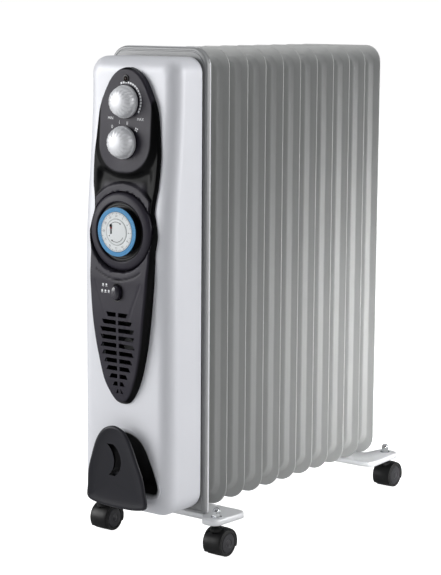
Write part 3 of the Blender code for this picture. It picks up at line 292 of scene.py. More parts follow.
def finish(name, colour, roughness, grain=1.0, bump=0.1, vary=0.06, spread=0.06, wear=60.0, **shader):
    """A surface with a fine relief of a grain in mm, and slow changes of its colour and its gloss."""
    if name in bpy.data.materials:
        return bpy.data.materials[name]
    material = bpy.data.materials.new(name)
    material.use_nodes = True
    tree = material.node_tree
    tree.nodes.clear()
    output = add_node(material, "ShaderNodeOutputMaterial")
    coordinates = add_node(material, "ShaderNodeTexCoord").outputs["Object"]
    slow = add_node(
        material, "ShaderNodeTexNoise", {"Vector": coordinates, "Scale": 1000 / wear, "Detail": 3.0},
    )
    fine = add_node(
        material, "ShaderNodeTexNoise", {"Vector": coordinates, "Scale": 1000 / grain, "Detail": 2.0},
    )
    dark = tuple(c * (1 - vary) for c in colour) + (1.0,)
    light = tuple(min(c * (1 + vary), 1.0) for c in colour) + (1.0,)
    tone = add_node(
        material, "ShaderNodeMix", {"Factor": slow.outputs["Fac"], 6: dark, 7: light}, data_type="RGBA"
    )
    gloss = add_node(
        material,
        "ShaderNodeMapRange",
        {
            "Value": slow.outputs["Fac"],
            "From Min": 0.3,
            "From Max": 0.7,
            "To Min": max(roughness - spread, 0.02),
            "To Max": roughness + spread,
        },
    )
    relief = add_node(
        material, "ShaderNodeBump",
        {"Height": fine.outputs["Fac"], "Strength": bump, "Distance": grain * MM * 0.3},
    )
    surface = add_node(
        material,
        "ShaderNodeBsdfPrincipled",
        {
            "Base Color": tone.outputs[2], "Roughness": gloss.outputs["Result"],
            "Normal": relief.outputs["Normal"],
        },
    )
    for key, value in shader.items():
        surface.inputs[key.replace("_", " ")].default_value = value
    tree.links.new(surface.outputs["BSDF"], output.inputs["Surface"])
    return material


# Finish: its colour, as a property's name or sRGB hex, its roughness and its other settings
FINISHES = {
    # Sprayed and baked enamel on steel: a soft gloss with faint orange peel about 1.5 mm wide
    "fin_enamel": (
        "fins", 0.40,
        dict(grain=1.5, bump=0.06, vary=0.012, spread=0.02, Coat_Weight=0.15, Coat_Roughness=0.25),
    ),
    # The same enamel on the end plate, in a darker grey that is painted shade
    "plate_enamel": (
        "plate", 0.36,
        dict(grain=1.5, bump=0.06, vary=0.012, spread=0.02, Coat_Weight=0.15, Coat_Roughness=0.25),
    ),
    # Silver-white paint with fine flake under thin lacquer: pale, satin, with slight orange peel
    "silver_paint": (
        "housing", 0.48,
        dict(
            grain=1.6, bump=0.08, vary=0.015, spread=0.04, Metallic=0.12, Coat_Weight=0.12,
            Coat_Roughness=0.40,
        ),
    ),
    # Thin silver-white powder coat on bent sheet: slightly grainy at 0.8 mm
    "foot_powder_coat": ("feet", 0.36, dict(grain=0.8, bump=0.14, vary=0.02, Metallic=0.15)),
    # Charcoal ABS moulded in a spark eroded tool: fine grain, drawn 0.7 mm wide so that it shows
    "charcoal_abs_textured": ("panel", 0.46, dict(grain=0.7, bump=0.16, vary=0.06, Specular_IOR_Level=0.28)),
    # Polished ABS of the button: deep and clear, almost without grain
    "black_abs_polished": ("panel", 0.20, dict(grain=3.0, bump=0.02, vary=0.05, spread=0.03, IOR=1.6)),
    # ABS with a silver metallic lacquer: bright, slightly soft reflections
    "silver_lacquered_abs": (
        "knobs", 0.42, dict(grain=0.9, bump=0.05, vary=0.02, spread=0.03, Metallic=0.25),
    ),
    # Pad printed white ink: flat and dull, with slightly uneven edges of tone
    "white_pad_print": ("print_ink", 0.55, dict(grain=0.6, bump=0.05, vary=0.05, wear=8.0)),
    # Printed white polystyrene of the dial: even satin
    "dial_white_polystyrene": ("dial", 0.40, dict(grain=0.8, bump=0.04, vary=0.02, wear=20.0)),
    # Grey-black pad print of the hours
    "dial_grey_pad_print": ("#5d6166", 0.55, dict(grain=0.6, bump=0.04, vary=0.06, wear=8.0)),
    # Light blue acetal: slightly waxy sheen
    "blue_acetal": ("tappets", 0.36, dict(grain=0.8, bump=0.05, vary=0.04, wear=12.0)),
    # Plain black ABS of the hidden units and the recess: satin
    "black_abs_plain": ("#08080a", 0.38, dict(grain=1.0, bump=0.08, vary=0.08, IOR=1.45)),
    # Painted shade inside narrow slots: near black, dull and almost without reflection
    "black_abs_recess": ("#040405", 0.8, dict(grain=1.0, bump=0.05, vary=0.1, Specular_IOR_Level=0.03)),
    # Red acetal of the lever's foot: slightly waxy
    "red_acetal": ("#a03a3c", 0.35, dict(grain=0.8, bump=0.05, vary=0.05, wear=8.0)),
    # Black glass filled nylon of the hoods: dull sheen with flow marks about 1 mm wide
    "black_nylon": ("hoods", 0.42, dict(grain=1.0, bump=0.12, vary=0.12, wear=14.0, Specular_IOR_Level=0.3)),
    # Dark grey nylon of the wheel discs
    "dark_grey_nylon": ("wheels", 0.42, dict(grain=0.9, bump=0.12, vary=0.10, wear=10.0)),
    # Black rolled tread, dull from use
    "black_tread": ("#0c0c0d", 0.55, dict(grain=0.8, bump=0.25, vary=0.15, wear=9.0)),
    # Charcoal ABS of the cord store with a fine satin grain
    "charcoal_abs_satin": ("store", 0.42, dict(grain=0.8, bump=0.12, vary=0.06, Specular_IOR_Level=0.25)),
    # Decorative chrome plate: mirror bright
    "chrome_plate": ("#d4d6d8", 0.08, dict(grain=2.0, bump=0.02, vary=0.02, spread=0.03, Metallic=1.0)),
    # Bright zinc plate: cloudy crystals a few mm wide
    "zinc_plate": (
        "#b6b9bb", 0.34, dict(grain=1.2, bump=0.08, vary=0.12, spread=0.08, wear=7.0, Metallic=1.0),
    ),
    # Brazed and heat tinted steel of the heating element
    "brazed_steel": ("#8a7563", 0.42, dict(grain=1.2, bump=0.10, vary=0.18, wear=9.0, Metallic=1.0)),
    # Natural nylon of the terminal block and the thermostat: off-white and dull
    "pale_nylon": ("#cfc9b8", 0.50, dict(grain=0.9, bump=0.10, vary=0.05, wear=12.0)),
    # Black rubber: matt, with mould grain about 0.9 mm wide
    "black_rubber": ("#161617", 0.68, dict(grain=0.9, bump=0.22, vary=0.12, wear=10.0)),
    # Smoked amber acrylic over a neon lamp that is off
    "amber_acrylic": ("#241009", 0.12, dict(grain=1.0, bump=0.02, vary=0.10, wear=3.0, IOR=1.49)),
}


def colours():
    """The colours that the panel in the sidebar shows."""
    return bpy.context.scene.heater_colours


def sizes():
    """The sizes and light levels that the panel in the sidebar shows."""
    return bpy.context.scene.heater_sizes


def surface(name):
    """The material of a named finish."""
    code, roughness, settings = FINISHES[name]
    colour = linear(code) if code.startswith("#") else getattr(colours(), code)
    return finish(name, colour, roughness, **settings)


def shaded(name, base, **ends):
    """A copy of a finish whose sockets run to other values where the mesh's shade attribute is 1."""
    material = surface(base).copy()
    material.name = name
    principled = next(node for node in material.node_tree.nodes if node.type == "BSDF_PRINCIPLED")
    shade = add_node(material, "ShaderNodeAttribute", attribute_name="shade").outputs["Fac"]
    for key, end in ends.items():
        socket = principled.inputs[key.replace("_", " ")]
        begin = socket.links[0].from_socket if socket.links else socket.default_value
        kind, first, last, result = ("RGBA", 6, 7, 2) if isinstance(end, tuple) else ("FLOAT", 2, 3, 0)
        mix = add_node(material, "ShaderNodeMix", {"Factor": shade, first: begin, last: end}, data_type=kind)
        material.node_tree.links.new(mix.outputs[result], socket)
    return material


def write_shade(item, value):
    """Write the shade attribute of a mesh from a function of a corner's place."""
    shades = item.data.attributes.new("shade", "FLOAT", "POINT")
    for corner, shade in zip(item.data.vertices, shades.data):
        shade.value = value(corner.co)


def clothe(item, looks, second=None):
    """Give an object its finishes, with the second one where a test of a face's middle and normal holds."""
    item.data.materials.clear()
    for look in (looks,) if not isinstance(looks, tuple) else looks:
        item.data.materials.append(surface(look) if isinstance(look, str) else look)
    if second:
        for face in item.data.polygons:
            face.material_index = int(second(face.center, face.normal))
    return item


# ---------------------------------------------------------------------------------------------------
# Surfaces of the housing and the panel

# Depth of the housing in front of the end plate, as (offset up the face, depth)
LEAN = ((0.313, 0.069), (0.543, 0.0547))
# The panel's outline from its foot to its top, as (offset up the face, half width)
PANEL_OUTLINE = (
    (0.132, 0.000),
    (0.1375, 0.0145),
    (0.163, 0.0290),
    (0.203, 0.0395),
    (0.243, 0.0455),
    (0.286, 0.0500),
    (0.298, 0.0508),
    (0.318, 0.0518),
    (0.331, 0.0522),
    (0.352, 0.0550),
    (0.371, 0.0515),
    (0.383, 0.0484),
    (0.404, 0.0510),
    (0.414, 0.0527),
    (0.440, 0.0540),
    (0.463, 0.0531),
    (0.503, 0.0475),
    (0.527, 0.0385),
    (0.547, 0.027),
    (0.558, 0.014),
    (0.562, 0.000),
)
# Half widths of the grille's rows
VENT_HALF_WIDTHS = (
    0.0165, 0.0235, 0.0268, 0.0268, 0.0268, 0.0248, 0.0218, 0.0185, 0.0138, 0.0085, 0.0045,
)


def face_height(offset):
    """Height of a place on the face, from its offset."""
    return FACE_LOW + offset * FACE_SCALE


def face_offset(height):
    """Offset of a place on the face, from its height."""
    return (height - FACE_LOW) / FACE_SCALE


def shell_depth(height):
    """Depth of the housing in front of the end plate at a height."""
    return between(LEAN, face_offset(height))


def shell_y(height):
    """Place along Y of the housing's front face."""
    return SHELL_BACK - shell_depth(height)


# The panel's right outline as fine (x, offset) points from its foot to its top
EDGE = spline([(width, offset) for offset, width in PANEL_OUTLINE], 6)
EDGE_PARTS = [(a, b) for a, b in zip(EDGE, EDGE[1:]) if (b - a).length > 1e-6]


def panel_half(offset):
    """Half width of the panel at an offset."""
    for first, second in zip(EDGE, EDGE[1:]):
        if first.y <= offset <= second.y and second.y > first.y:
            return first.x + (second.x - first.x) * (offset - first.y) / (second.y - first.y)
    return 0.0


def edge_distance(x, offset):
    """Distance from a point of the panel to its outline."""
    point = Vector((abs(x), offset))
    best = 1.0
    for first, second in EDGE_PARTS:
        if not first.y - 0.014 < offset < second.y + 0.014:
            continue
        along = second - first
        share = min(max((point - first).dot(along) / along.length_squared, 0.0), 1.0)
        best = min(best, (point - first - along * share).length)
    return best


def frame_distance(x, offset, half, low, high, radius):
    """Distance outside a rounded rectangle in the panel's face, negative inside."""
    dx = abs(x) - (half - radius)
    dy = abs(offset - (low + high) / 2) - ((high - low) / 2 - radius)
    return hypot(max(dx, 0.0), max(dy, 0.0)) + min(max(dx, dy), 0.0) - radius


BEZEL_OFFSET = face_offset(BEZEL.z)


def panel_relief(x, offset):
    """Height of the panel over the housing, and its painted shade: how far its colour goes from charcoal to
    near black on the flanks, in the hollow under the raised field, in the gap round the bezel and in the arc
    groove.
    """
    near = edge_distance(x, offset)
    ring = hypot(x, offset - BEZEL_OFFSET)
    above = offset - BEZEL_OFFSET
    if offset > 0.375:
        plateau = frame_distance(x, offset, 0.0405, 0.431, 0.5585, 0.036)
        lift = 0.0090 - 0.0040 * ease(plateau / 0.012) - 0.0022 * ease((0.0025 - near) / 0.0025)
        # Painted shade: near black outside the raised field, on the flanks and in the hollow below it
        shade = ease((plateau + 0.0005) / 0.0022)
        hollow = (
            ease((plateau - 0.001) / 0.006) * ease((0.437 - offset) / 0.008)
            * (1 - ease((abs(x) - 0.036) / 0.012))
        )
        sill = ease((0.427 - offset) / 0.017) * (1 - ease((abs(x) - 0.026) / 0.022))
        lift += 0.0034 * sill - 0.0026 * hollow
        shade *= 1 - 0.70 * ease((sill - 0.25) / 0.7)
        collar = ring - BEZEL_RADIUS - 0.0118
        tilt = atan2(above, abs(x))
        open_side = ease((tilt - radians(6)) / radians(4))
        inside = ease((near - 0.0036) / 0.0022)
        share = ease((0.0020 - collar) / 0.0016) * open_side * inside
        lift = lift * (1 - share) + 0.0076 * share
        shade *= 1 - ease(-collar / 0.0008) * open_side * inside
        # Painted shadow: near black in the gap round the bezel
        gap = ease((BEZEL_RADIUS + 0.0026 - ring) / 0.0012)
        lift -= 0.0045 * gap
        shade = max(shade, gap)
    else:
        rise = between(
            ((0.132, 0.0070), (0.168, 0.0110), (0.248, 0.0138), (0.290, 0.0128), (0.330, 0.0092)), offset,
        )
        flank = 0.0055
        lift = rise - (rise - 0.0012) * ((flank - near) / flank if near < flank else 0.0) ** 1.6
        # Painted shade: near black along the lower flanks
        shade = ease((flank * 0.86 - near) / 0.0014)
        # Painted shadow in the gap under the bezel
        gap = ease((0.0036 - (ring - BEZEL_RADIUS)) / 0.0016)
        lift = lift * (1 - gap) + 0.0030 * gap
        shade = max(shade, gap)
        arc_line = abs(ring - BEZEL_RADIUS - 0.0125)
        # Painted shade in the arc groove
        if abs(x) < 0.036 and above < 0:
            deep = max(0.0, 1 - arc_line / 0.0012)
            lift -= 0.0012 * deep
            shade = max(shade, 0.9 * deep)
        side = 0.0375 - (0.292 - offset) * 0.40
        if 0.205 < offset < 0.292:
            lift -= 0.0006 * max(0.0, 1 - abs(abs(x) - side) / 0.0012)
    return max(lift, 0.0006), shade


def panel_y(x, height):
    """Place along Y of the panel's face."""
    return shell_y(height) - panel_relief(x, face_offset(height))[0]


# ---------------------------------------------------------------------------------------------------
# Fins, headers and end plate


def fin_ring(inset, y, steps=7):
    """A fin's outline, drawn in by an inset, at a place along Y."""
    rows = [FIN_LOW + (FIN_HIGH - FIN_LOW) * step / 6 for step in range(1, 6)]
    outline = rounded_frame(
        FIN_HALF - inset, FIN_LOW + inset, FIN_HIGH - inset, 0.027 - inset * 0.6, 0.024 - inset * 0.6,
        steps, rows,
    )
    return [(x, y, z) for x, z in outline]


class HEATER_OT_fins(bpy.types.Operator):
    """Pressed steel fins: a rolled edge, a flat rim and a raised oil pad on both faces"""

    bl_idname = "heater.fins"
    bl_label = "Fins"

    def execute(self, context):
        rim = sizes().fin_rim / 2
        pad = 0.007
        bend = sizes().fin_bend
        half = [
            (0.0, rim * 0.45),
            (0.0003, rim * 0.9),
            (0.0009, rim),
            (bend - 0.0012, rim),
            (bend, rim * 1.25),
            (bend + 0.0009, rim * 2.0),
            (bend + 0.0042, pad - rim * 1.4),
            (bend + 0.0054, pad - rim * 0.35),
            (bend + 0.0072, pad),
            (bend + 0.0200, pad),
        ]
        front = [fin_ring(inset, FIRST_FIN - depth) for inset, depth in reversed(half)]
        rear = [fin_ring(inset, FIRST_FIN + depth) for inset, depth in half]
        count = len(front[0])
        middle = (FIN_LOW + FIN_HIGH) / 2
        rings = [
            [(0.0, FIRST_FIN - pad, middle)] * count, *front, *rear,
            [(0.0, FIRST_FIN + pad, middle)] * count,
        ]
        pattern = skin("enamelled_fin_01", rings, angle=32)
        for number in range(11):
            item = pattern if number == 0 else copied(
                pattern, f"enamelled_fin_{number + 1:02d}", (0, PITCH * number, 0),
            )
            finished(item, "heater", "fin_paint", "fin_enamel", f"fin_{number + 1:02d}")
        return {"FINISHED"}


class HEATER_OT_headers(bpy.types.Operator):
    """Oil headers: a tube through the fins with a welded collar against every fin"""

    bl_idname = "heater.headers"
    bl_label = "Oil headers"

    def execute(self, context):
        for node in ("top_header", "bottom_header"):
            low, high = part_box(node)
            radius = high[0]
            height = (low[2] + high[2]) / 2
            profile = [(0.0, -low[1]), (radius * 0.9, -low[1]), (radius, -low[1] - 0.0015)]
            for number in range(11):
                y = -(FIRST_FIN + number * PITCH)
                profile += [(radius, y + 0.011), (radius + 0.0012, y + 0.0095), (radius + 0.003, y + 0.0078)]
                profile += [(radius + 0.003, y - 0.0078), (radius + 0.0012, y - 0.0095), (radius, y - 0.011)]
            profile = [row for row in profile if -high[1] < row[1] <= -low[1]]
            profile += [(radius * 0.9, -high[1]), (0.0, -high[1])]
            item = turned("welded_" + node, profile, (0, 0, height), steps=40)
            finished(item, "heater", "fin_paint", "fin_enamel", node)
        return {"FINISHED"}


class HEATER_OT_end_plate(bpy.types.Operator):
    """End plate: a pressed tray with a rolled front edge, a shallow bead and a hemmed rear edge"""

    bl_idname = "heater.end_plate"
    bl_label = "End plate"

    def execute(self, context):
        rows = [FIN_LOW + (FIN_HIGH - FIN_LOW) * step / 6 for step in range(1, 6)]

        def ring(inset, y, low_radius=0.004):
            outline = rounded_frame(
                PLATE_HALF - inset, FIN_LOW + max(inset, 0.0), FIN_HIGH + 0.0018 - inset,
                max(low_radius - inset, 0.0006), 0.0245 - inset * 0.8, 8, rows,
            )
            return [(x, y, z) for x, z in outline]

        front, rear = PLATE_Y, PLATE_REAR
        wall = 0.0012
        profile = [
            (wall, front + wall), (wall, rear - 0.0006), (wall * 0.8, rear), (wall * 0.2, rear),
            (-0.0004, rear - 0.0004), (-0.0009, rear - 0.0014), (-0.0006, rear - 0.0024),
            (0.0, rear - 0.0031), (0.0, front + 0.0022), (0.0003, front + 0.0011), (0.0010, front + 0.0003),
            (0.0022, front), (0.0034, front), (0.0040, front + 0.0007), (0.0052, front + 0.0007),
            (0.0058, front), (0.0100, front),
        ]
        rings = [ring(inset, y) for inset, y in profile]
        count = len(rings[0])
        middle = (FIN_LOW + FIN_HIGH) / 2
        rings = [[(0.0, front + wall, middle)] * count, *rings, [(0.0, front, middle)] * count]
        item = skin("pressed_end_plate", rings, angle=40)

        # Painted highlight: the rolled rear edge takes the paler powder coat of the feet
        def hem(place, _):
            return (
                place.y > rear - 0.0031
                and (abs(place.x) > PLATE_HALF - 0.0005 or place.z > FIN_HIGH + 0.0012)
            )

        looks = ("plate_enamel", "foot_powder_coat")
        finished(item, "heater", "plate_paint", looks, "front_end_plate", second=hem)
        return {"FINISHED"}


# ---------------------------------------------------------------------------------------------------
# Housing


def store_half(grow=0.0):
    """Right half of the bell outline of the cord store, as (x, z) from its foot to its top."""
    wide = 0.0505
    table = (
        (0.0, 0.0), (0.0012, wide * 0.60), (0.007, wide * 0.965), (0.024, wide * 0.955), (0.045, wide * 0.86),
        (0.067, wide * 0.70), (0.088, wide * 0.52), (0.101, wide * 0.30), (0.106, 0.0),
    )
    points = spline([(width, height) for height, width in table], 10)
    around = [Vector((-points[1].x, points[1].y)), *points, Vector((-points[-2].x, points[-2].y))]
    out = []
    for before, point, after in zip(around, points, around[2:]):
        along = (after - before).normalized()
        place = point + Vector((along.y, -along.x)) * grow
        out.append((max(place.x, 0.0), place.y + WRAP_LOW))
    out[0], out[-1] = (0.0, out[0][1]), (0.0, out[-1][1])
    return out


def recess_outline(grow):
    """Closed outline (x, z) of the recess behind the cord plate."""
    floor = FIN_LOW + 0.036 - grow
    half = [(x, floor + (z - floor) * 0.82) for x, z in store_half(0.005 + grow)]
    right = [(x, z) for x, z in half if z > floor + 0.006 and x > 0]
    x = right[0][0]
    right = [(0.0, floor), (x * 0.5, floor), (x - 0.006, floor), (x - 0.002, floor + 0.0016), *right]
    return right + [half[-1]] + [(-x, z) for x, z in reversed(right[1:])]


def prism(name, outline, front, back):
    """A closed outline carried along Y, with flat ends."""
    count = len(outline)
    middle = (sum(x for x, _ in outline) / count, sum(z for _, z in outline) / count)
    rings = [
        [(middle[0], front, middle[1])] * count,
        [(x, front, z) for x, z in outline],
        [(x, back, z) for x, z in outline],
        [(middle[0], back, middle[1])] * count,
    ]
    return skin(name, rings)


class HEATER_OT_housing(bpy.types.Operator):
    """Housing of the controls: a shell with large round edges that leans back towards its top"""

    bl_idname = "heater.housing"
    bl_label = "Housing"

    def execute(self, context):
        rows = [SHELL_LOW + (SHELL_HIGH - SHELL_LOW) * step / 60 for step in range(5, 58)]
        low, low_radius, high_radius = SHELL_LOW - 0.005, 0.026, 0.021

        def ring(inset, forward):
            outline = rounded_frame(
                SHELL_HALF - inset, low + inset, SHELL_HIGH - inset,
                low_radius - inset * 0.7, high_radius - inset * 0.7, 10, rows,
            )
            return [(x, SHELL_BACK - max(shell_depth(z) - forward, 0.0), z) for x, z in outline]

        # The wall steps in before the end plate, which leaves a groove lined with black rubber as painted
        # shade
        groove = 0.0022
        steps = ((0.0020, 0.0), (0.0020, groove), (0.0003, groove), (0.0, groove + 0.0004))
        rings = [[(x, SHELL_BACK - depth, z) for x, _, z in ring(inset, 0.0)] for inset, depth in steps]
        for angle in range(0, 91, 6):
            turn = radians(angle)
            rings.append(ring(EDGE_ROUND * (1 - cos(turn)), EDGE_ROUND * (1 - sin(turn))))
        face = rings[-1]
        rings += [[(x * share, y, z) for x, y, z in face] for share in (0.75, 0.5, 0.25, 0.0)]
        item = skin("painted_housing", rings, facing=FRONT_VIEW, angle=40)
        modify(item, "SOLIDIFY", thickness=0.0022, offset=-1.0, use_even_offset=True)
        window = [(max(x - 0.005, 0.002), face_height(offset)) for x, offset in EDGE if x > 0.004]
        window += [(-x, z) for x, z in reversed(window)]
        cut(item, prism("window", window, *HOLE), whole=True)
        opening = drawn_in([Vector(point) for point in recess_outline(0.0)], -0.0072)
        cut(item, prism("store_window", [tuple(point) for point in opening], HOLE[0], SHELL_BACK - 0.05))
        # Painted shade: the groove's faces take the black rubber finish
        looks = ("silver_paint", "black_rubber")
        finished(
            item, "heater", "housing_paint", looks, "housing_shell",
            second=lambda place, _: place.y > SHELL_BACK - groove - 0.0002,
        )
        return {"FINISHED"}


# ---------------------------------------------------------------------------------------------------
# Panel, knobs, timer


def on_panel(item, proud=0.00012):
    """Lay a flat mesh on the panel's face."""
    for corner in item.data.vertices:
        x, _, z = corner.co
        corner.co = (x, panel_y(x, z) - proud, z)
    item.data.update()
    return item


def written(text, x, z, size, turn=0.0):
    """A word or a number as a mesh in the (x, z) plane, read from the front."""
    bpy.ops.object.select_all(action="DESELECT")
    bpy.ops.object.text_add(location=(0, 0, 0))
    item = bpy.context.object
    item.data.body = text
    item.data.size = size
    item.data.align_x = "CENTER"
    item.data.align_y = "CENTER"
    item.data.resolution_u = 2
    bpy.ops.object.convert(target="MESH")
    item = bpy.context.object
    turning = Matrix.Rotation(pi / 2, 4, "X") @ Matrix.Rotation(turn, 4, "Z")
    item.data.transform(Matrix.Translation((x, 0, z)) @ turning)
    return item


def flat_strip(points, width):
    """A flat band along a line of (x, z) points, facing the front."""
    left, right = [], []
    for index, (x, z) in enumerate(points):
        before = points[max(index - 1, 0)]
        after = points[min(index + 1, len(points) - 1)]
        along = Vector((after[0] - before[0], after[1] - before[1])).normalized() * (width / 2)
        left.append((x - along.y, 0.0, z + along.x))
        right.append((x + along.y, 0.0, z - along.x))
    return skin("strip", [left, right], closed=False, facing=FRONT_VIEW)


def disc(x, z, radius, steps=14):
    rim = [(
        x + radius * cos(2 * pi * s / steps), 0.0, z + radius * sin(2 * pi * s / steps),
    ) for s in range(steps)]
    return skin("dot", [rim, [(x, 0.0, z)] * steps], facing=FRONT_VIEW)


class HEATER_OT_panel(bpy.types.Operator):
    """Control panel: a raised field for the knobs, a hollow, a collar and a grille, with painted shade on the
    flanks, in the hollow and in the gaps
    """

    bl_idname = "heater.panel"
    bl_label = "Control panel"

    def execute(self, context):
        low, high = PANEL_OUTLINE[0][0], PANEL_OUTLINE[-1][0]
        tip, end, count = 0.00012, 0.0004, 236
        offsets = [low + end + (high - low - 2 * end) * step / count for step in range(count + 1)]
        offsets = [low + tip, *offsets, high - tip]
        shares = [1 - (1 - step / 34) ** 1.6 for step in range(35)]
        shares = [-s for s in reversed(shares[1:])] + shares
        rows = []
        for offset in offsets:
            half = panel_half(offset)
            z = face_height(offset)
            row = [(share * half, panel_y(share * half, z), z) for share in shares]
            back = shell_y(z) + 0.0030
            rows.append([(row[0][0], back, z), *row, (row[-1][0], back, z)])
        item = skin("moulded_panel", rows, closed=False, facing=FRONT_VIEW, angle=50)
        write_shade(item, lambda place: panel_relief(place.x, face_offset(place.z))[1])
        modify(item, "SOLIDIFY", thickness=0.0022, offset=-1.0, use_even_offset=False)
        tools = []
        for z, radius in ((BEZEL.z, 0.0400), (centre("indicator_lens").z, 0.0027)):
            rim = [(radius * cos(2 * pi * s / 56), z + radius * sin(2 * pi * s / 56)) for s in range(56)]
            tools.append(prism("hole", rim, *HOLE))
        tools.append(prism("hole", oval(0.0076, 0.0106, centre("fan_switch_button").z), *HOLE))
        tools += [prism("slot", outline, *HOLE) for outline in vent_outlines()]
        cut(item, joined("openings", tools), angle=50)
        # The face keeps its fine spark grain; where the shade attribute is 1 the colour runs to near black as
        # painted shade, with a smoother, less reflective surface
        flank = {"Base_Color": (*colours().flanks, 1.0), "Roughness": 0.33, "Specular_IOR_Level": 0.08}
        look = shaded("charcoal_abs_part_polished", "charcoal_abs_textured", **flank)
        finished(item, "heater", "panel_plastic", look, "control_panel")
        return {"FINISHED"}


def oval(half_width, half_height, z, x=0.0, steps=14):
    rise = half_height - half_width
    top = arc((x, z + rise), half_width, 0, 180, steps)
    foot = arc((x, z - rise), half_width, 180, 360, steps)
    return top + foot


def vent_outlines():
    """The slots of the grille, whose outer ends follow the grille's outline."""
    for row, half in enumerate(VENT_HALF_WIDTHS):
        z = face_height(0.2495 - row * 0.010)
        slant = 0.0016 if row < 4 else -0.0016
        inner, rise = 0.0018, 0.0029
        for side in (-1, 1):
            corners = [
                (inner, z - rise), (half - slant, z - rise), (half + slant, z + rise), (inner, z + rise),
            ]
            yield [(side * x, z) for x, z in corners][::side]


class HEATER_OT_marks(bpy.types.Operator):
    """White marks of the knobs and symbols by the button"""

    bl_idname = "heater.marks"
    bl_label = "Panel marks"

    def execute(self, context):
        dial, choice = centre("thermostat_knob"), centre("selector_knob")
        button = centre("fan_switch_button")
        items = []
        radius = 0.0243
        for step in range(16):
            first = 112 - step * 9.2
            points = arc((dial.x, dial.z), radius, first, first - 7.0, 4)
            items.append(flat_strip(points, 0.0025))
        items.append(written("MIN", dial.x - 0.0245, dial.z - 0.0214, 0.0050))
        items.append(written("MAX", dial.x + 0.0245, dial.z - 0.0214, 0.0050))
        for text, angle in (("0", 132), ("I", 102), ("II", 72)):
            turn = radians(angle)
            items.append(written(
                text, choice.x - 0.0045 + 0.0252 * cos(turn), choice.z + 0.0252 * sin(turn), 0.0062,
            ))
        x, z = choice.x - 0.0035 + 0.0275 * cos(radians(37)), choice.z + 0.0275 * sin(radians(37))
        for blade in range(4):
            turn = blade * pi / 2 + 0.4
            items.append(disc(x + 0.0018 * cos(turn), z + 0.0018 * sin(turn), 0.0011, 8))
        dots = ((-0.0235, 0.0085), (-0.0180, 0.0085), (-0.0250, 0.0005), (-0.0195, 0.0005), (-0.0140, 0.0005))
        for index, (dx, dz) in enumerate(dots):
            cx, cz = button.x + dx, button.z + dz
            items.append(disc(cx, cz, 0.0015, 6 + index))
            items.append(flat_strip([(cx - 0.0016, cz - 0.0022), (cx + 0.0016, cz - 0.0022)], 0.0006))
        item = on_panel(joined("panel_marks", items))
        finished(item, "heater", "dial_plastic", "white_pad_print")
        return {"FINISHED"}


class HEATER_OT_knobs(bpy.types.Operator):
    """Domed knobs with shallow flutes round their side and a pointer notch"""

    bl_idname = "heater.knobs"
    bl_label = "Knobs"

    def execute(self, context):
        for node, pointer in (("thermostat_knob", 128), ("selector_knob", 122)):
            low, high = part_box(node)
            middle = centre(node)
            radius = (high[0] - low[0]) / 2
            seat, tall = high[1], high[1] - low[1]
            steps = 144
            profile = (
                (0.0, tall), (0.12, tall - 0.00002), (0.28, tall - 0.0002), (0.42, tall - 0.0006),
                (0.55, tall - 0.0013), (0.66, tall - 0.0022), (0.76, tall - 0.0036), (0.84, tall - 0.0056),
                (0.895, tall - 0.0082), (0.925, tall - 0.0108), (0.94, 0.0052), (0.955, 0.0044),
                (0.99, 0.0038), (1.0, 0.0028), (1.0, 0.0), (0.72, 0.0), (0.0, 0.0),
            )
            rings = []
            for share, height in profile:
                ring = []
                for step in range(steps):
                    turn = 2 * pi * step / steps
                    flute = (
                        ease((share - 0.30) / 0.35) * ease((0.97 - share) / 0.03)
                        if height > 0.004 else 0.0
                    )
                    wave = max(0.0, cos(turn * 16)) ** 3 * 0.00055 * flute
                    off = (turn - radians(pointer) + pi) % (2 * pi) - pi
                    notch = (
                        ease(1 - abs(off) / 0.055) * 0.0012 * ease((share - 0.40) / 0.08)
                        * (height > 0.004)
                    )
                    reach = share * radius - (wave + notch) * 0.8
                    rise = height - (wave + notch) * 0.7 * (height > 0.006)
                    ring.append((middle.x + reach * cos(turn), seat - rise, middle.z + reach * sin(turn)))
                rings.append(ring)
            item = skin("lacquered_" + node, rings, angle=40)
            finished(item, node, "knob_plastic", "silver_lacquered_abs", node)
        return {"FINISHED"}


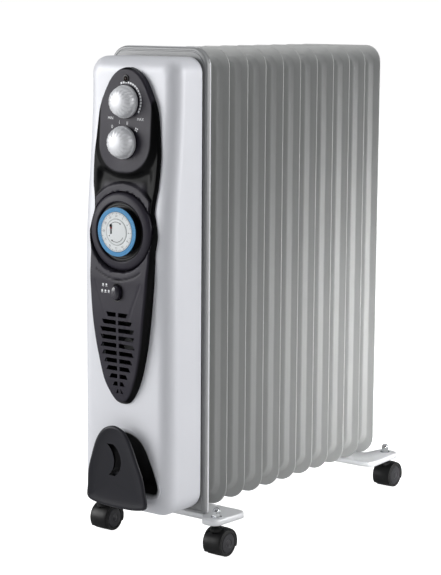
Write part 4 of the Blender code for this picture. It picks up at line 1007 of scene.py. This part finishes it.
class HEATER_OT_timer(bpy.types.Operator):
    """Segment timer: bezel, recess, blue tappets, printed dial, hub with arrows and override lever"""

    bl_idname = "heater.timer"
    bl_label = "Timer"

    def execute(self, context):
        self.bezel_and_recess()
        self.disc()
        self.hub()
        self.lever()
        return {"FINISHED"}

    def bezel_and_recess(self):
        profile = (
            (0.0378, -0.0160), (0.0378, -0.0020), (0.0384, -0.0006), (0.0396, 0.0), (0.0420, -0.0002),
            (0.0455, -0.0008), (0.0478, -0.0016), (0.0492, -0.0030), (0.0498, -0.0048), (0.0498, -0.0120),
            (0.0440, -0.0130), (0.0378, -0.0160),
        )
        item = turned("timer_ring", profile, BEZEL, steps=96, angle=30)
        finished(item, "heater", "bezel_plastic", "charcoal_abs_textured", "timer_bezel")

        floor = BEZEL.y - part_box("timer_body")[0][1]
        profile = (
            (0.0, 0.0), (0.0335, 0.0), (0.0345, 0.0008), (0.0362, 0.0008), (0.0370, 0.0), (0.0376, 0.0),
            (0.0376, -0.010), (0.0345, -0.010), (0.0345, -0.033), (0.0, -0.033),
        )
        item = turned("timer_recess", [(radius, floor + rise) for radius, rise in profile], BEZEL, steps=72)
        finished(item, "heater", "unit_plastic", "black_abs_plain", "timer_body")

    def disc(self):
        outer, inner, count, gap = 0.0312, 0.0257, 96, 0.00012
        half_out, half_in = pi * outer / count - gap, pi * inner / count - gap
        rings = []
        for drop, grow in ((0.0016, 0.0), (0.0003, 0.0), (0.0, 0.0002)):
            y = DIAL.y + drop
            rings.append([
                (grow - half_in, y, inner + grow), (half_in - grow, y, inner + grow),
                (half_out - grow, y, outer - grow), (grow - half_out, y, outer - grow),
            ])
        rings.append([(0.0, DIAL.y, (inner + outer) / 2)] * 4)
        items = [skin("tappet", rings, facing=FRONT_VIEW, angle=30)]
        for number in range(1, count):
            twin = copied(items[0], "tappet", (0, 0, 0))
            twin.data.transform(Matrix.Rotation(2 * pi * number / count, 4, "Y"))
            items.append(twin)
        item = joined("timer_tappets", items)
        item.data.transform(Matrix.Translation((0, 0, DIAL.z)))
        finished(item, "timer_disc", "tappet_plastic", "blue_acetal", "timer_tappet_ring")

        profile = (
            (0.0256, -0.0010), (0.0315, -0.0010), (0.0315, -0.0088), (0.0256, -0.0088), (0.0256, -0.0010),
        )
        drum = turned("timer_drum", profile, DIAL, steps=96)
        finished(drum, "timer_disc", "tappet_plastic", "black_abs_plain")
        profile = (
            (0.0169, -0.0088), (0.0169, -0.0003), (0.0172, 0.0), (0.0250, 0.0002), (0.0254, -0.0003),
            (0.0254, -0.0088), (0.0169, -0.0088),
        )
        item = turned("timer_dial_plate", profile, DIAL, steps=96)
        finished(item, "timer_disc", "dial_plastic", "dial_white_polystyrene", "timer_dial")

        items = []
        for number in range(count):
            turn = 2 * pi * number / count
            reach, length, width = (0.0246, 0.0011, 0.00036) if number % 4 else (0.0246, 0.0020, 0.00055)
            ends = [(radius * sin(turn), radius * cos(turn)) for radius in (reach, reach - length)]
            items.append(flat_strip(ends, width))
        for hour in range(0, 24, 2):
            turn = 2 * pi * hour / 24
            items.append(written(str(hour or 24), 0.0204 * sin(turn), 0.0204 * cos(turn), 0.0034, -turn))
        item = joined("timer_hours", items)
        item.data.transform(Matrix.Translation((0, DIAL.y - 0.0003, DIAL.z)))
        finished(item, "timer_disc", "dial_plastic", "dial_grey_pad_print")

    def hub(self):
        profile = (
            (0.0, 0.0007), (0.0120, 0.0007), (0.0158, 0.0005), (0.0165, -0.0002), (0.0165, -0.0088),
            (0.0, -0.0088),
        )
        item = turned("timer_hub_disc", profile, DIAL, steps=64)
        left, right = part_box("timer_override")[0][0] - 0.0003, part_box("timer_override")[1][0] + 0.0003
        low, high = DIAL.z - 0.0028, DIAL.z + 0.0098
        pocket = [(left, low), (right, low), (right, high), (left, high)]
        cut(item, prism("pocket", pocket, DIAL.y - 0.003, DIAL.y + 0.0026))

        def inside(place, _):
            return (
                left - 0.0007 < place.x < right + 0.0007 and low - 0.0012 < place.z < high + 0.0012
                and DIAL.y + 0.0002 < place.y < DIAL.y + 0.004
            )

        looks = ("dial_white_polystyrene", "black_abs_plain")
        finished(item, "heater", "dial_plastic", looks, "timer_hub", second=inside)

        items, radius = [], 0.0128
        for first, last in ((150, 62), (-28, -118)):
            items.append(flat_strip(arc((0, 0), radius, first, last, 14), 0.0006))
            across = Vector((cos(radians(last)), sin(radians(last))))
            along = Vector((across.y, -across.x))
            tip = across * radius
            corners = [tip + along * 0.0026, tip + across * 0.0012, tip - across * 0.0012]
            rings = [[(corner.x, 0.0, corner.y) for corner in corners], [(tip.x, 0.0, tip.y)] * 3]
            items.append(skin("tip", rings, facing=FRONT_VIEW))
        items.append(disc(-0.0112, -0.0052, 0.0009, 10))
        item = joined("timer_arrows", items)
        item.data.transform(Matrix.Translation((0, DIAL.y - 0.00085, DIAL.z)))
        finished(item, "heater", "dial_plastic", "black_abs_plain")

    def lever(self):
        low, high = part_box("timer_override")
        x, width = centre("timer_override").x, (high[0] - low[0]) / 2
        rings = []
        for step in range(13):
            z = low[2] + (high[2] - low[2]) * step / 12
            wide = width * (0.65 + 0.35 * ease(min(step, 12 - step) / 2))
            lift = 0.0022 + 0.0006 * ease((step - 6) / 4)
            right = [(wide * 0.5, -lift), (wide, -lift * 0.5), (wide, 0.0018)]
            section = [(-across, y) for across, y in reversed(right)] + right
            rings.append([(x + across, DIAL.y + y, z) for across, y in section])
        ends = [[(x, DIAL.y + 0.0005, z)] * 6 for z in (low[2], high[2])]
        item = skin("override_tab", [ends[0], *rings, ends[1]], angle=30)
        split = low[2] + (high[2] - low[2]) * 0.42
        looks = ("red_acetal", "black_abs_plain")
        finished(
            item, "override_lever", "lever_plastic", looks, "timer_override",
            second=lambda place, _: place.z > split,
        )


class HEATER_OT_small_controls(bpy.types.Operator):
    """Indicator lamp in its ring, and the oval button in its ring"""

    bl_idname = "heater.small_controls"
    bl_label = "Lamp and button"

    def execute(self, context):
        lamp = centre("indicator_lens").z
        place = Vector((0.0, panel_y(0.0, lamp), lamp))
        profile = (
            (0.0, 0.0020), (0.0012, 0.0018), (0.0021, 0.0010), (0.0024, 0.0), (0.0024, -0.0040),
            (0.0, -0.0040),
        )
        item = turned("lamp_lens", profile, place, steps=28)
        finished(item, "heater", "lens_plastic", "amber_acrylic", "indicator_lens")
        profile = (
            (0.0026, -0.0030), (0.0026, 0.0009), (0.0031, 0.0014), (0.0043, 0.0012), (0.0049, 0.0004),
            (0.0051, -0.0012), (0.0051, -0.0030), (0.0026, -0.0030),
        )
        item = turned("lamp_ring", profile, place, steps=36)
        finished(item, "heater", "panel_plastic", "black_abs_plain")

        low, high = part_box("fan_switch_button")
        height = centre("fan_switch_button").z
        half, tall = (high[0] - low[0]) / 2, (high[2] - low[2]) / 2
        front, back = low[1], high[1]
        domed = (
            (0.92, back), (0.92, front + 0.0034), (0.88, front + 0.0021), (0.78, front + 0.0011),
            (0.60, front + 0.0004), (0.30, front + 0.0001),
        )
        rings = [[(x, y, z) for x, z in oval(half * share, tall * share, height)] for share, y in domed]
        ends = [[(0, y, height)] * len(rings[0]) for y in (back, front)]
        item = skin("oval_button", [ends[0], *rings, ends[1]], angle=40)
        finished(item, "fan_button", "button_plastic", "black_abs_polished", "fan_switch_button")
        profile = (
            (0.0005, -0.0030), (0.0005, -0.0004), (0.0009, 0.0002), (0.0016, 0.0003), (0.0022, -0.0001),
            (0.0024, -0.0030), (0.0005, -0.0030),
        )
        rings = [
            [(
                x, panel_y(x, z) - lift, z,
            ) for x, z in oval(half + grow, tall + grow, height)] for grow, lift in profile
        ]
        item = skin("button_ring", rings, angle=40)
        finished(item, "heater", "panel_plastic", "black_abs_plain")
        return {"FINISHED"}


def drawn_in(points, inset):
    """Move a closed outline inwards by an inset."""
    out = []
    for index, point in enumerate(points):
        along = (points[(index + 1) % len(points)] - points[index - 1]).normalized()
        out.append(point + Vector((-along.y, along.x)) * inset)
    return out


# ---------------------------------------------------------------------------------------------------
# Cord store


class HEATER_OT_cord_store(bpy.types.Operator):
    """Cord store: a dished recess with a stem, and a bell shaped plate with a crescent slot"""

    bl_idname = "heater.cord_store"
    bl_label = "Cord store"

    def execute(self, context):
        level = shell_y(SHELL_LOW + 0.01)
        self.recess(level)
        self.plate()
        return {"FINISHED"}

    def recess(self, level):
        low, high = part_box("cord_wrap_base")
        outline = [Vector(point) for point in recess_outline(0.0)]
        slope = (
            (0.0086, 0.0008), (0.0084, -0.0002), (0.0074, -0.0004), (0.0058, 0.0001), (0.0040, 0.0011),
            (0.0022, 0.0025), (0.0004, 0.0043), (-0.0014, 0.0064), (-0.0034, 0.0088), (-0.0062, 0.0110),
            (-0.0100, 0.0120), (-0.0140, 0.0122),
        )
        rings = [[(p.x, level + depth, p.y) for p in drawn_in(outline, -grow)] for grow, depth in slope]
        rings.append([(0.0, level + 0.0124, (low[2] + high[2]) / 2 - 0.01)] * len(rings[0]))
        dish = skin("store_dish", rings, facing=FRONT_VIEW, angle=60)
        # Painted shade: the dish goes from the housing's silver to near black with depth
        dish_shade_by_depth = ((-0.0008, 0.0), (0.0, 0.0), (0.0044, 1.0), (0.02, 1.0))
        write_shade(dish, lambda place: between(dish_shade_by_depth, place.y - level))
        modify(dish, "SOLIDIFY", thickness=0.0014, offset=-1.0, use_even_offset=False)
        # The housing's paint runs over a soft lip into the dish, where painted shade turns it near black with
        # depth, less glossy and without lacquer
        painted_dish_shade = {
            "Base_Color": (*linear("#0b0b0d"), 1.0), "Specular_IOR_Level": 0.08, "Coat_Weight": 0.0,
            "Metallic": 0.0,
        }
        look = shaded("silver_paint_into_black_abs", "silver_paint", **painted_dish_shade)
        finished(dish, "heater", "store_plastic", look, "cord_wrap_base")

        floor = level + 0.0122
        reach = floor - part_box("cord_wrap_plate")[1][1]
        profile = (
            (0.0, -0.001), (0.0135, -0.001), (0.0120, 0.0012), (0.0112, 0.0030), (0.0108, reach - 0.0006),
            (0.0, reach - 0.0004),
        )
        stem = turned("store_stem", profile, (0, floor, WRAP_LOW + 0.037), steps=48)
        finished(stem, "heater", "store_plastic", "charcoal_abs_satin")

    def plate(self):
        (_, front, foot), (_, back, top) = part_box("cord_wrap_plate")
        middle, height = WRAP_LOW + 0.036, WRAP_LOW + 0.064
        edge = (
            (-0.0030, back), (-0.0006, back), (0.0, back - 0.0005), (0.0, front + 0.0022),
            (-0.0004, front + 0.0012), (-0.0014, front + 0.0004), (-0.0030, front),
            (-0.0045, front + 0.0002), (-0.0070, front + 0.0009),
        )
        rings = []
        for grow, y in edge:
            half = store_half(grow)
            rings.append([(x, y, z) for x, z in half] + [(-x, y, z) for x, z in reversed(half[1:-1])])
        base = rings[-1]
        for share, y in ((0.8, front + 0.0013), (0.55, front + 0.0017), (0.3, front + 0.0019)):
            rings.append([(x * share, y, middle + (z - middle) * share) for x, _, z in base])
        ends = [[(0.0, y, middle)] * len(base) for y in (back, front + 0.0020)]
        plate = skin("store_plate", [ends[0], *rings, ends[1]], angle=40)
        for corner in plate.data.vertices:
            share = (corner.co.z - foot) / (top - foot)
            corner.co.y -= 0.0060 * ease(share / 0.85)
            corner.co.z += 0.0035 * ease((share - 0.35) / 0.6)
            corner.co.x *= 1 + 0.05 * ease((share - 0.2) / 0.3)
        outer = arc((-0.0135, height), 0.0250, -58, 58, 16)
        inner = arc((-0.0268, height), 0.0265, 53, -53, 16)
        cut(plate, prism("slot", outer + inner, front - 0.02, back + 0.004), angle=40)

        # Painted shade: the slot's walls take the near black finish
        def in_slot(place, side):
            return abs(side.y) < 0.5 and -0.012 < place.x < 0.014 and abs(place.z - height) < 0.024

        looks = ("charcoal_abs_satin", "black_abs_recess")
        finished(plate, "heater", "store_plastic", looks, "cord_wrap_plate", second=in_slot)


# ---------------------------------------------------------------------------------------------------
# Feet and casters


def blunted(corners, radii, steps=8):
    """Round the corners of a polygon of (x, y) points."""
    points = []
    for index, corner in enumerate(corners):
        here, radius = Vector(corner), radii[index]
        before = (Vector(corners[index - 1]) - here).normalized()
        after = (Vector(corners[(index + 1) % len(corners)]) - here).normalized()
        for step in range(steps + 1):
            t = step / steps
            a, b = here + before * radius * (1 - t), here + after * radius * t
            points.append(a * (1 - t) + b * t)
    return points


class HEATER_OT_feet(bpy.types.Operator):
    """Feet: bent sheet with a rounded tab over each caster and a down-turned flange all round"""

    bl_idname = "heater.feet"
    bl_label = "Feet"

    def execute(self, context):
        for node, middle, forward, lobe in (
            ("front_foot", FIRST_FIN + PITCH / 2, -1, (0.013, 0.0150, 0.0165)),
            ("rear_foot", LAST_FIN - PITCH / 2, 1, (0.0165, 0.0185, 0.0170)),
        ):
            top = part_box(node)[1][2]
            caster = centre(node.split("_")[0] + "_right_caster_nut")
            inner, outer = caster.x - lobe[0], caster.x + lobe[1]
            tip = caster.y + forward * lobe[2]
            near, far = middle + forward * 0.026, middle - forward * 0.022
            right = [(inner - 0.008, near), (inner, tip), (outer - 0.004, tip), (outer, far)]
            corners = right + [(-x, y) for x, y in reversed(right)]
            outline = blunted(corners, (0.008, 0.0095, 0.0125, 0.016, 0.016, 0.0125, 0.0095, 0.008))
            area = sum(a.x * b.y - b.x * a.y for a, b in zip(outline, outline[1:] + outline[:1]))
            if area < 0:
                outline.reverse()
            bend = (
                (0.0, 0.0078), (0.0, 0.0030), (0.0001, 0.0020), (0.0005, 0.0010), (0.0012, 0.0003),
                (0.0022, 0.0),
            )
            rings = [[(p.x, p.y, top - drop) for p in drawn_in(outline, inset)] for inset, drop in bend]
            item = skin("bent_" + node, rings, angle=40)
            edit(item, "EDGE")
            bpy.ops.mesh.select_all(action="DESELECT")
            mesh = bmesh.from_edit_mesh(item.data)
            for edge in mesh.edges:
                edge.select_set(edge.is_boundary and all(v.co.z > top - 0.0001 for v in edge.verts))
            bmesh.update_edit_mesh(item.data)
            bpy.ops.mesh.edge_face_add()
            bpy.ops.object.mode_set(mode="OBJECT")
            tidy(item, (0, 0, 1), 40)
            modify(item, "SOLIDIFY", thickness=0.0016, offset=-1.0, use_even_offset=True)
            finished(item, "heater", "foot_paint", "foot_powder_coat", node)
        return {"FINISHED"}


class HEATER_OT_casters(bpy.types.Operator):
    """Twin wheel casters: barrel shaped hoods with a notched front, wheels with treads, and acorn nuts"""

    bl_idname = "heater.casters"
    bl_label = "Casters"

    def execute(self, context):
        for end in ("front", "rear"):
            for side in ("left", "right"):
                self.caster(f"{end}_{side}_caster")
        return {"FINISHED"}

    def caster(self, body):
        hood_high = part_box(body + "_hood")[1]
        wheel_low, wheel_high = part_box(body + "_right_wheel")
        stem = centre(body + "_nut")
        axle = Vector((stem.x, (wheel_low[1] + wheel_high[1]) / 2, (wheel_low[2] + wheel_high[2]) / 2))
        radius = (wheel_high[2] - wheel_low[2]) / 2 - 0.0002
        foot_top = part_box(body.split("_")[0] + "_foot")[1][2]
        self.hood(body, stem, axle, radius, hood_high[0] - stem.x, foot_top)
        for label, sign in (("left", -1), ("right", 1)):
            self.wheel(f"{body}_{label}", axle, radius, sign)
        self.nut(body, (stem.x, stem.y, foot_top))

    def hood(self, body, stem, axle, wheel_radius, half, foot_top):
        cover = wheel_radius + 0.0029
        rings = []
        for share in [step / 16 for step in range(-16, 17)]:
            x = share * half
            first, last = -24.0, 214.0 + 6 * abs(share) ** 3
            ring = []
            for step in range(49):
                angle = first + (last - first) * step / 48
                turn = radians(angle)
                narrow = 0.0050 * max(0.0, min((136 - angle) / 26, 1.0))
                notch = ease(1.2 - abs(x) / narrow) * ease((angle - 96) / 8) if narrow > 0.0004 else 0.0
                reach = cover - 0.0012 * abs(share) ** 3 - 0.0016 * notch
                ring.append((stem.x + x, axle.y + reach * cos(turn), axle.z + reach * sin(turn)))
            rings.append(ring)
        hood = skin("barrel_hood", rings, closed=False, angle=50)
        edit(hood)
        mesh = bmesh.from_edit_mesh(hood.data)
        if sum(face.normal.dot(face.calc_center_median() - axle) for face in mesh.faces) < 0:
            bpy.ops.mesh.flip_normals()
        bpy.ops.object.mode_set(mode="OBJECT")
        modify(hood, "SOLIDIFY", thickness=0.0020, offset=-1.0, use_even_offset=True)
        modify(hood, "BEVEL", width=0.0005, segments=2, limit_method="ANGLE", angle_limit=radians(50))
        rim = wheel_radius + 0.0001
        profile = (
            (0.0, -0.0041), (wheel_radius, -0.0041), (rim, -0.0034), (rim, 0.0034), (wheel_radius, 0.0041),
            (0.0, 0.0041),
        )
        web = turned("web", profile, axle, "SIDE", 48)
        rise = foot_top - 0.0020 - axle.z
        profile = (
            (0.0, cover - 0.005), (0.0085, cover - 0.004), (0.0085, cover), (0.0070, cover + 0.0015),
            (0.0058, cover + 0.0030), (0.0055, rise - 0.0014), (0.0064, rise - 0.0010),
            (0.0064, rise - 0.0001), (0.0, rise),
        )
        neck = turned("neck", profile, (stem.x, stem.y, axle.z), "UP", 36)
        hood = joined(body + "_barrel", [hood, web, neck], angle=45)
        finished(hood, body, "caster_plastic", "black_nylon", body + "_hood")

    def wheel(self, body, axle, radius, sign):
        low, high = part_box(body + "_wheel")
        wide = high[0] - low[0]
        profile = (
            (0.0035, 0.0), (radius - 0.0012, 0.0), (radius - 0.0003, 0.0006), (radius, 0.0016),
            (radius, wide - 0.0016), (radius - 0.0004, wide - 0.0006), (radius - 0.0013, wide),
            (radius - 0.0034, wide), (radius - 0.0040, wide - 0.0008), (radius - 0.0047, wide - 0.0008),
            (radius - 0.0053, wide + 0.0001), (0.0060, wide + 0.0006), (0.0052, wide + 0.0001),
            (0.0046, wide + 0.0001), (0.0038, wide + 0.0005), (0.0, wide + 0.0006),
        )
        rows = [(reach, sign * height) for reach, height in profile]
        near = low[0] if sign > 0 else high[0]
        wheel = turned(body + "_rolling_wheel", rows, (near, axle.y, axle.z), "SIDE", 56, angle=30)

        def on_tread(place, _):
            return hypot(place.y - axle.y, place.z - axle.z) > radius - 0.0050

        looks = ("dark_grey_nylon", "black_tread")
        finished(wheel, body + "_wheel", "wheel_plastic", looks, body + "_wheel", second=on_tread)

    def nut(self, body, base):
        washer = (
            (0.0, 0.0), (0.0070, 0.0), (0.0072, 0.0003), (0.0072, 0.0009), (0.0068, 0.0012), (0.0, 0.0012),
        )
        hexagon = (
            (0.0, 0.0012), (0.0054, 0.0012), (0.0058, 0.0016), (0.0058, 0.0062), (0.0052, 0.0068),
            (0.0, 0.0068),
        )
        dome = (
            (0.0, 0.0060), (0.0049, 0.0062), (0.0049, 0.0080), (0.0045, 0.0098), (0.0036, 0.0113),
            (0.0024, 0.0122), (0.0012, 0.0126), (0.0, 0.0127),
        )
        items = [
            turned("washer", washer, base, "UP", 40),
            turned("hexagon", hexagon, base, "UP", 6, angle=25),
            turned("dome", dome, base, "UP", 32),
        ]
        nut = joined(body + "_acorn_nut", items, angle=35)
        finished(nut, "heater", "chrome_nut", "chrome_plate", body + "_nut")


class HEATER_OT_gland(bpy.types.Operator):
    """Cord gland: a tapered rubber sleeve with ribs in the left side of the housing"""

    bl_idname = "heater.gland"
    bl_label = "Cord gland"

    def execute(self, context):
        low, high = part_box("cord_gland")
        middle = Vector((low[0], (low[1] + high[1]) / 2, (low[2] + high[2]) / 2))
        length = high[0] - low[0]
        profile = [(0.0034, 0.004), (0.0034, 0.0), (0.0046, 0.0), (0.0049, 0.0005)]
        for rib in range(3):
            x, root, crest = 0.0012 + rib * 0.0018, 0.0050 + rib * 0.0003, 0.0057 + rib * 0.0002
            profile += [(root, x), (crest, x + 0.0004), (crest, x + 0.0010), (root, x + 0.0014)]
        profile += [(0.0064, 0.0070), (0.0084, 0.0072), (0.0084, length), (0.0034, length), (0.0034, 0.004)]
        item = turned("rubber_gland", profile, middle, "SIDE", 40)
        finished(item, "heater", "rubber_black", "black_rubber", "cord_gland")
        return {"FINISHED"}


class HEATER_OT_frame_finishes(bpy.types.Operator):
    """Materials of the CAD nodes that keep their shape: inner units, hooks and wing nuts"""

    bl_idname = "heater.frame_finishes"
    bl_label = "Inner units"

    def execute(self, context):
        looks = {
            "pale_nylon": "thermostat terminal_block",
            # The fan duct is moulded black; its black also stands in for the shade seen through the grille
            "black_abs_plain": "selector_switch fan_switch fan_duct fan_impeller tip_over_switch",
            "zinc_plate": "fan_motor front_hook_bolt rear_hook_bolt front_wing_nut rear_wing_nut",
            "brazed_steel": "heating_element",
        }
        for look, nodes in looks.items():
            for node in nodes.split():
                clothe(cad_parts[node], look)
        return {"FINISHED"}


# ---------------------------------------------------------------------------------------------------
# Stage


class HEATER_OT_stage(bpy.types.Operator):
    """Pale floor, soft studio lights, a white surround and the camera"""

    bl_idname = "heater.stage"
    bl_label = "Stage"

    def execute(self, context):
        scene = context.scene
        scene.view_settings.view_transform = "Standard"
        self.camera(scene)
        self.surround(scene)
        self.floor()
        middle = (0.0, -0.1, 0.34)
        self.light("key", (-2.3, -2.3, 1.15), middle, 1.9, sizes().key)
        self.light("side", (2.9, 1.35, 1.25), middle, 1.6, sizes().side)
        self.light("top", (0.0, 0.2, 3.0), middle, 2.6, sizes().top)
        # A narrow beam from the front right that falls on the rear fins alone
        self.light("beam", (1.9, -1.15, 0.45), (0.08, 0.36, 0.17), 0.35, sizes().beam, spread=20)
        return {"FINISHED"}

    def light(self, name, place, target, size, power, spread=180):
        light = bpy.data.lights.new(name, "AREA")
        light.shape, light.size, light.energy, light.spread = "SQUARE", size, power, radians(spread)
        lamp = bpy.data.objects.new(name, light)
        lamp.location = place
        lamp.rotation_euler = (Vector(target) - Vector(place)).to_track_quat("-Z", "Y").to_euler()
        bpy.context.scene.collection.objects.link(lamp)

    def floor(self):
        """A paper sweep that glows for the camera alone, so that its shadows stay faint."""
        floor = start(bpy.ops.mesh.primitive_plane_add, size=24)
        floor.name = floor.data.name = "studio_floor"
        settings = dict(grain=4.0, bump=0.02, vary=0.01, Specular_IOR_Level=0.1)
        paper = finish("white_paper_sweep", linear("#e6e6e6"), 0.85, **settings)
        principled = next(node for node in paper.node_tree.nodes if node.type == "BSDF_PRINCIPLED")
        principled.inputs["Emission Color"].default_value = (1.0, 1.0, 1.0, 1.0)
        camera_ray = add_node(paper, "ShaderNodeLightPath").outputs["Is Camera Ray"]
        glow = add_node(paper, "ShaderNodeMath", {0: camera_ray, 1: 0.95}, operation="MULTIPLY")
        paper.node_tree.links.new(glow.outputs[0], principled.inputs["Emission Strength"])
        clothe(floor, paper)

    def camera(self, scene):
        azimuth, elevation, roll = radians(37.09), radians(8.80), radians(0.38)
        forward = Vector((-sin(azimuth) * cos(elevation), cos(azimuth) * cos(elevation), -sin(elevation)))
        right = Vector((cos(azimuth), sin(azimuth), 0.0))
        up = right.cross(forward)
        across = right * cos(roll) + up * sin(roll)
        upward = up * cos(roll) - right * sin(roll)
        place = Matrix((across, upward, -forward)).transposed().to_4x4()
        place.translation = Vector((1.4653, FIRST_FIN - 1.812, FIN_LOW + 0.652))
        data = bpy.data.cameras.new("studio_camera")
        focal, image_high, sensor = 1800, 575, 36
        data.lens, data.sensor_width, data.sensor_fit = focal * sensor / image_high, sensor, "AUTO"
        camera = bpy.data.objects.new("studio_camera", data)
        camera.matrix_world = place
        scene.collection.objects.link(camera)
        scene.camera = camera

    def surround(self, scene):
        """White where the camera looks past the heater, and a soft grey for light and reflections."""
        world = bpy.data.worlds.new("studio_surround")
        world.use_nodes = True
        world.node_tree.nodes.clear()
        ray = add_node(world, "ShaderNodeLightPath")
        spot = add_node(world, "ShaderNodeTexCoord")
        split = add_node(world, "ShaderNodeSeparateXYZ", {"Vector": spot.outputs["Generated"]})
        dim, bright = sizes().surround * 0.55, sizes().surround * 1.3
        rise = {
            "Value": split.outputs["Z"], "From Min": -0.3, "From Max": 0.9, "To Min": dim, "To Max": bright,
        }
        level = add_node(world, "ShaderNodeMapRange", rise).outputs["Result"]
        grey = add_node(world, "ShaderNodeBackground", {"Color": (0.95, 0.97, 1.0, 1.0), "Strength": level})
        white = add_node(world, "ShaderNodeBackground", {"Color": (1.0, 1.0, 1.0, 1.0), "Strength": 1.02})
        ends = {0: ray.outputs["Is Camera Ray"], 1: grey.outputs[0], 2: white.outputs[0]}
        mixed = add_node(world, "ShaderNodeMixShader", ends)
        add_node(world, "ShaderNodeOutputWorld", {"Surface": mixed.outputs[0]})
        scene.world = world


# ---------------------------------------------------------------------------------------------------
# Properties, panel and registration


def colour(name, description, code):
    return bpy.props.FloatVectorProperty(
        name=name, description=description, subtype="COLOR", size=3, min=0.0, max=1.0, default=linear(code)
    )


class HeaterColours(bpy.types.PropertyGroup):
    """Colours of the visible finishes"""

    fins: colour("Fins", "Enamel of the fins", "#b6b7b6")
    # Painted shade: the end plate's grey is darker than the fins' enamel
    plate: colour("End plate", "Enamel of the end plate", "#949596")
    housing: colour("Housing", "Silver-white paint of the housing", "#e2e3e8")
    feet: colour("Feet", "Powder coat of the feet", "#f2f3f5")
    panel: colour("Panel", "Charcoal plastic of the panel's face", "#2b2832")
    # Painted shade: the near black of the panel's flanks, hollow and gaps
    flanks: colour("Flanks", "Polished black plastic of the panel's sides", "#060607")
    store: colour("Cord store", "Charcoal plastic of the cord store", "#222228")
    knobs: colour("Knobs", "Silver lacquer of the knobs", "#e4e5e8")
    print_ink: colour("Print", "White marks on the panel", "#f4f5f8")
    dial: colour("Dial", "White plastic of the dial", "#dfe3e4")
    tappets: colour("Tappets", "Blue plastic of the timer's tappets", "#4f9ed2")
    hoods: colour("Hoods", "Black nylon of the caster hoods", "#0a0a0b")
    wheels: colour("Wheels", "Dark grey nylon of the wheels", "#2b2a2e")


def length(name, description, default, low, high):
    return bpy.props.FloatProperty(
        name=name, description=description, default=default, min=low, max=high, unit="LENGTH"
    )


def power(name, description, default):
    return bpy.props.FloatProperty(name=name, description=description, default=default, min=0.0, unit="POWER")


class HeaterSizes(bpy.types.PropertyGroup):
    """Sizes and light levels"""

    fin_rim: length("Rim thickness", "Thickness of a fin at its flat rim", 0.0016, 0.0008, 0.003)
    fin_bend: length("Rim width", "Width of the flat rim outside the oil pad", 0.0102, 0.006, 0.016)
    key: power("Front light", "Power of the light at the front left", 77.0)
    side: power("Side light", "Power of the light at the right rear", 64.0)
    beam: power("Beam", "Power of the narrow beam on the rear fins", 0.80)
    top: power("Top light", "Power of the light overhead", 16.0)
    surround: bpy.props.FloatProperty(
        name="Surround", description="Brightness of the grey surround", default=0.20, min=0.0, max=2.0
    )


PIECES = (
    HEATER_OT_fins,
    HEATER_OT_headers,
    HEATER_OT_end_plate,
    HEATER_OT_housing,
    HEATER_OT_panel,
    HEATER_OT_marks,
    HEATER_OT_knobs,
    HEATER_OT_timer,
    HEATER_OT_small_controls,
    HEATER_OT_cord_store,
    HEATER_OT_feet,
    HEATER_OT_casters,
    HEATER_OT_gland,
    HEATER_OT_frame_finishes,
    HEATER_OT_stage,
)


class HEATER_PT_pieces(bpy.types.Panel):
    """Lists the pieces, colours and sizes of the heater"""

    bl_idname = "HEATER_PT_pieces"
    bl_label = "Oil filled radiator"
    bl_space_type = "VIEW_3D"
    bl_region_type = "UI"
    bl_category = "Heater"

    def draw(self, context):
        column = self.layout.column(align=True)
        for piece in PIECES:
            column.operator(piece.bl_idname)
        for group in (context.scene.heater_colours, context.scene.heater_sizes):
            box = self.layout.box()
            for name in group.__annotations__:
                box.prop(group, name)


CLASSES = (HeaterColours, HeaterSizes, *PIECES, HEATER_PT_pieces)


def register():
    for kind in CLASSES:
        bpy.utils.register_class(kind)
    bpy.types.Scene.heater_colours = bpy.props.PointerProperty(type=HeaterColours)
    bpy.types.Scene.heater_sizes = bpy.props.PointerProperty(type=HeaterSizes)


def unregister():
    del bpy.types.Scene.heater_sizes
    del bpy.types.Scene.heater_colours
    for kind in reversed(CLASSES):
        bpy.utils.unregister_class(kind)


def main():
    register()
    for piece in PIECES:
        group, name = piece.bl_idname.split(".")
        getattr(getattr(bpy.ops, group), name)()


if __name__ == "__main__":
    main()
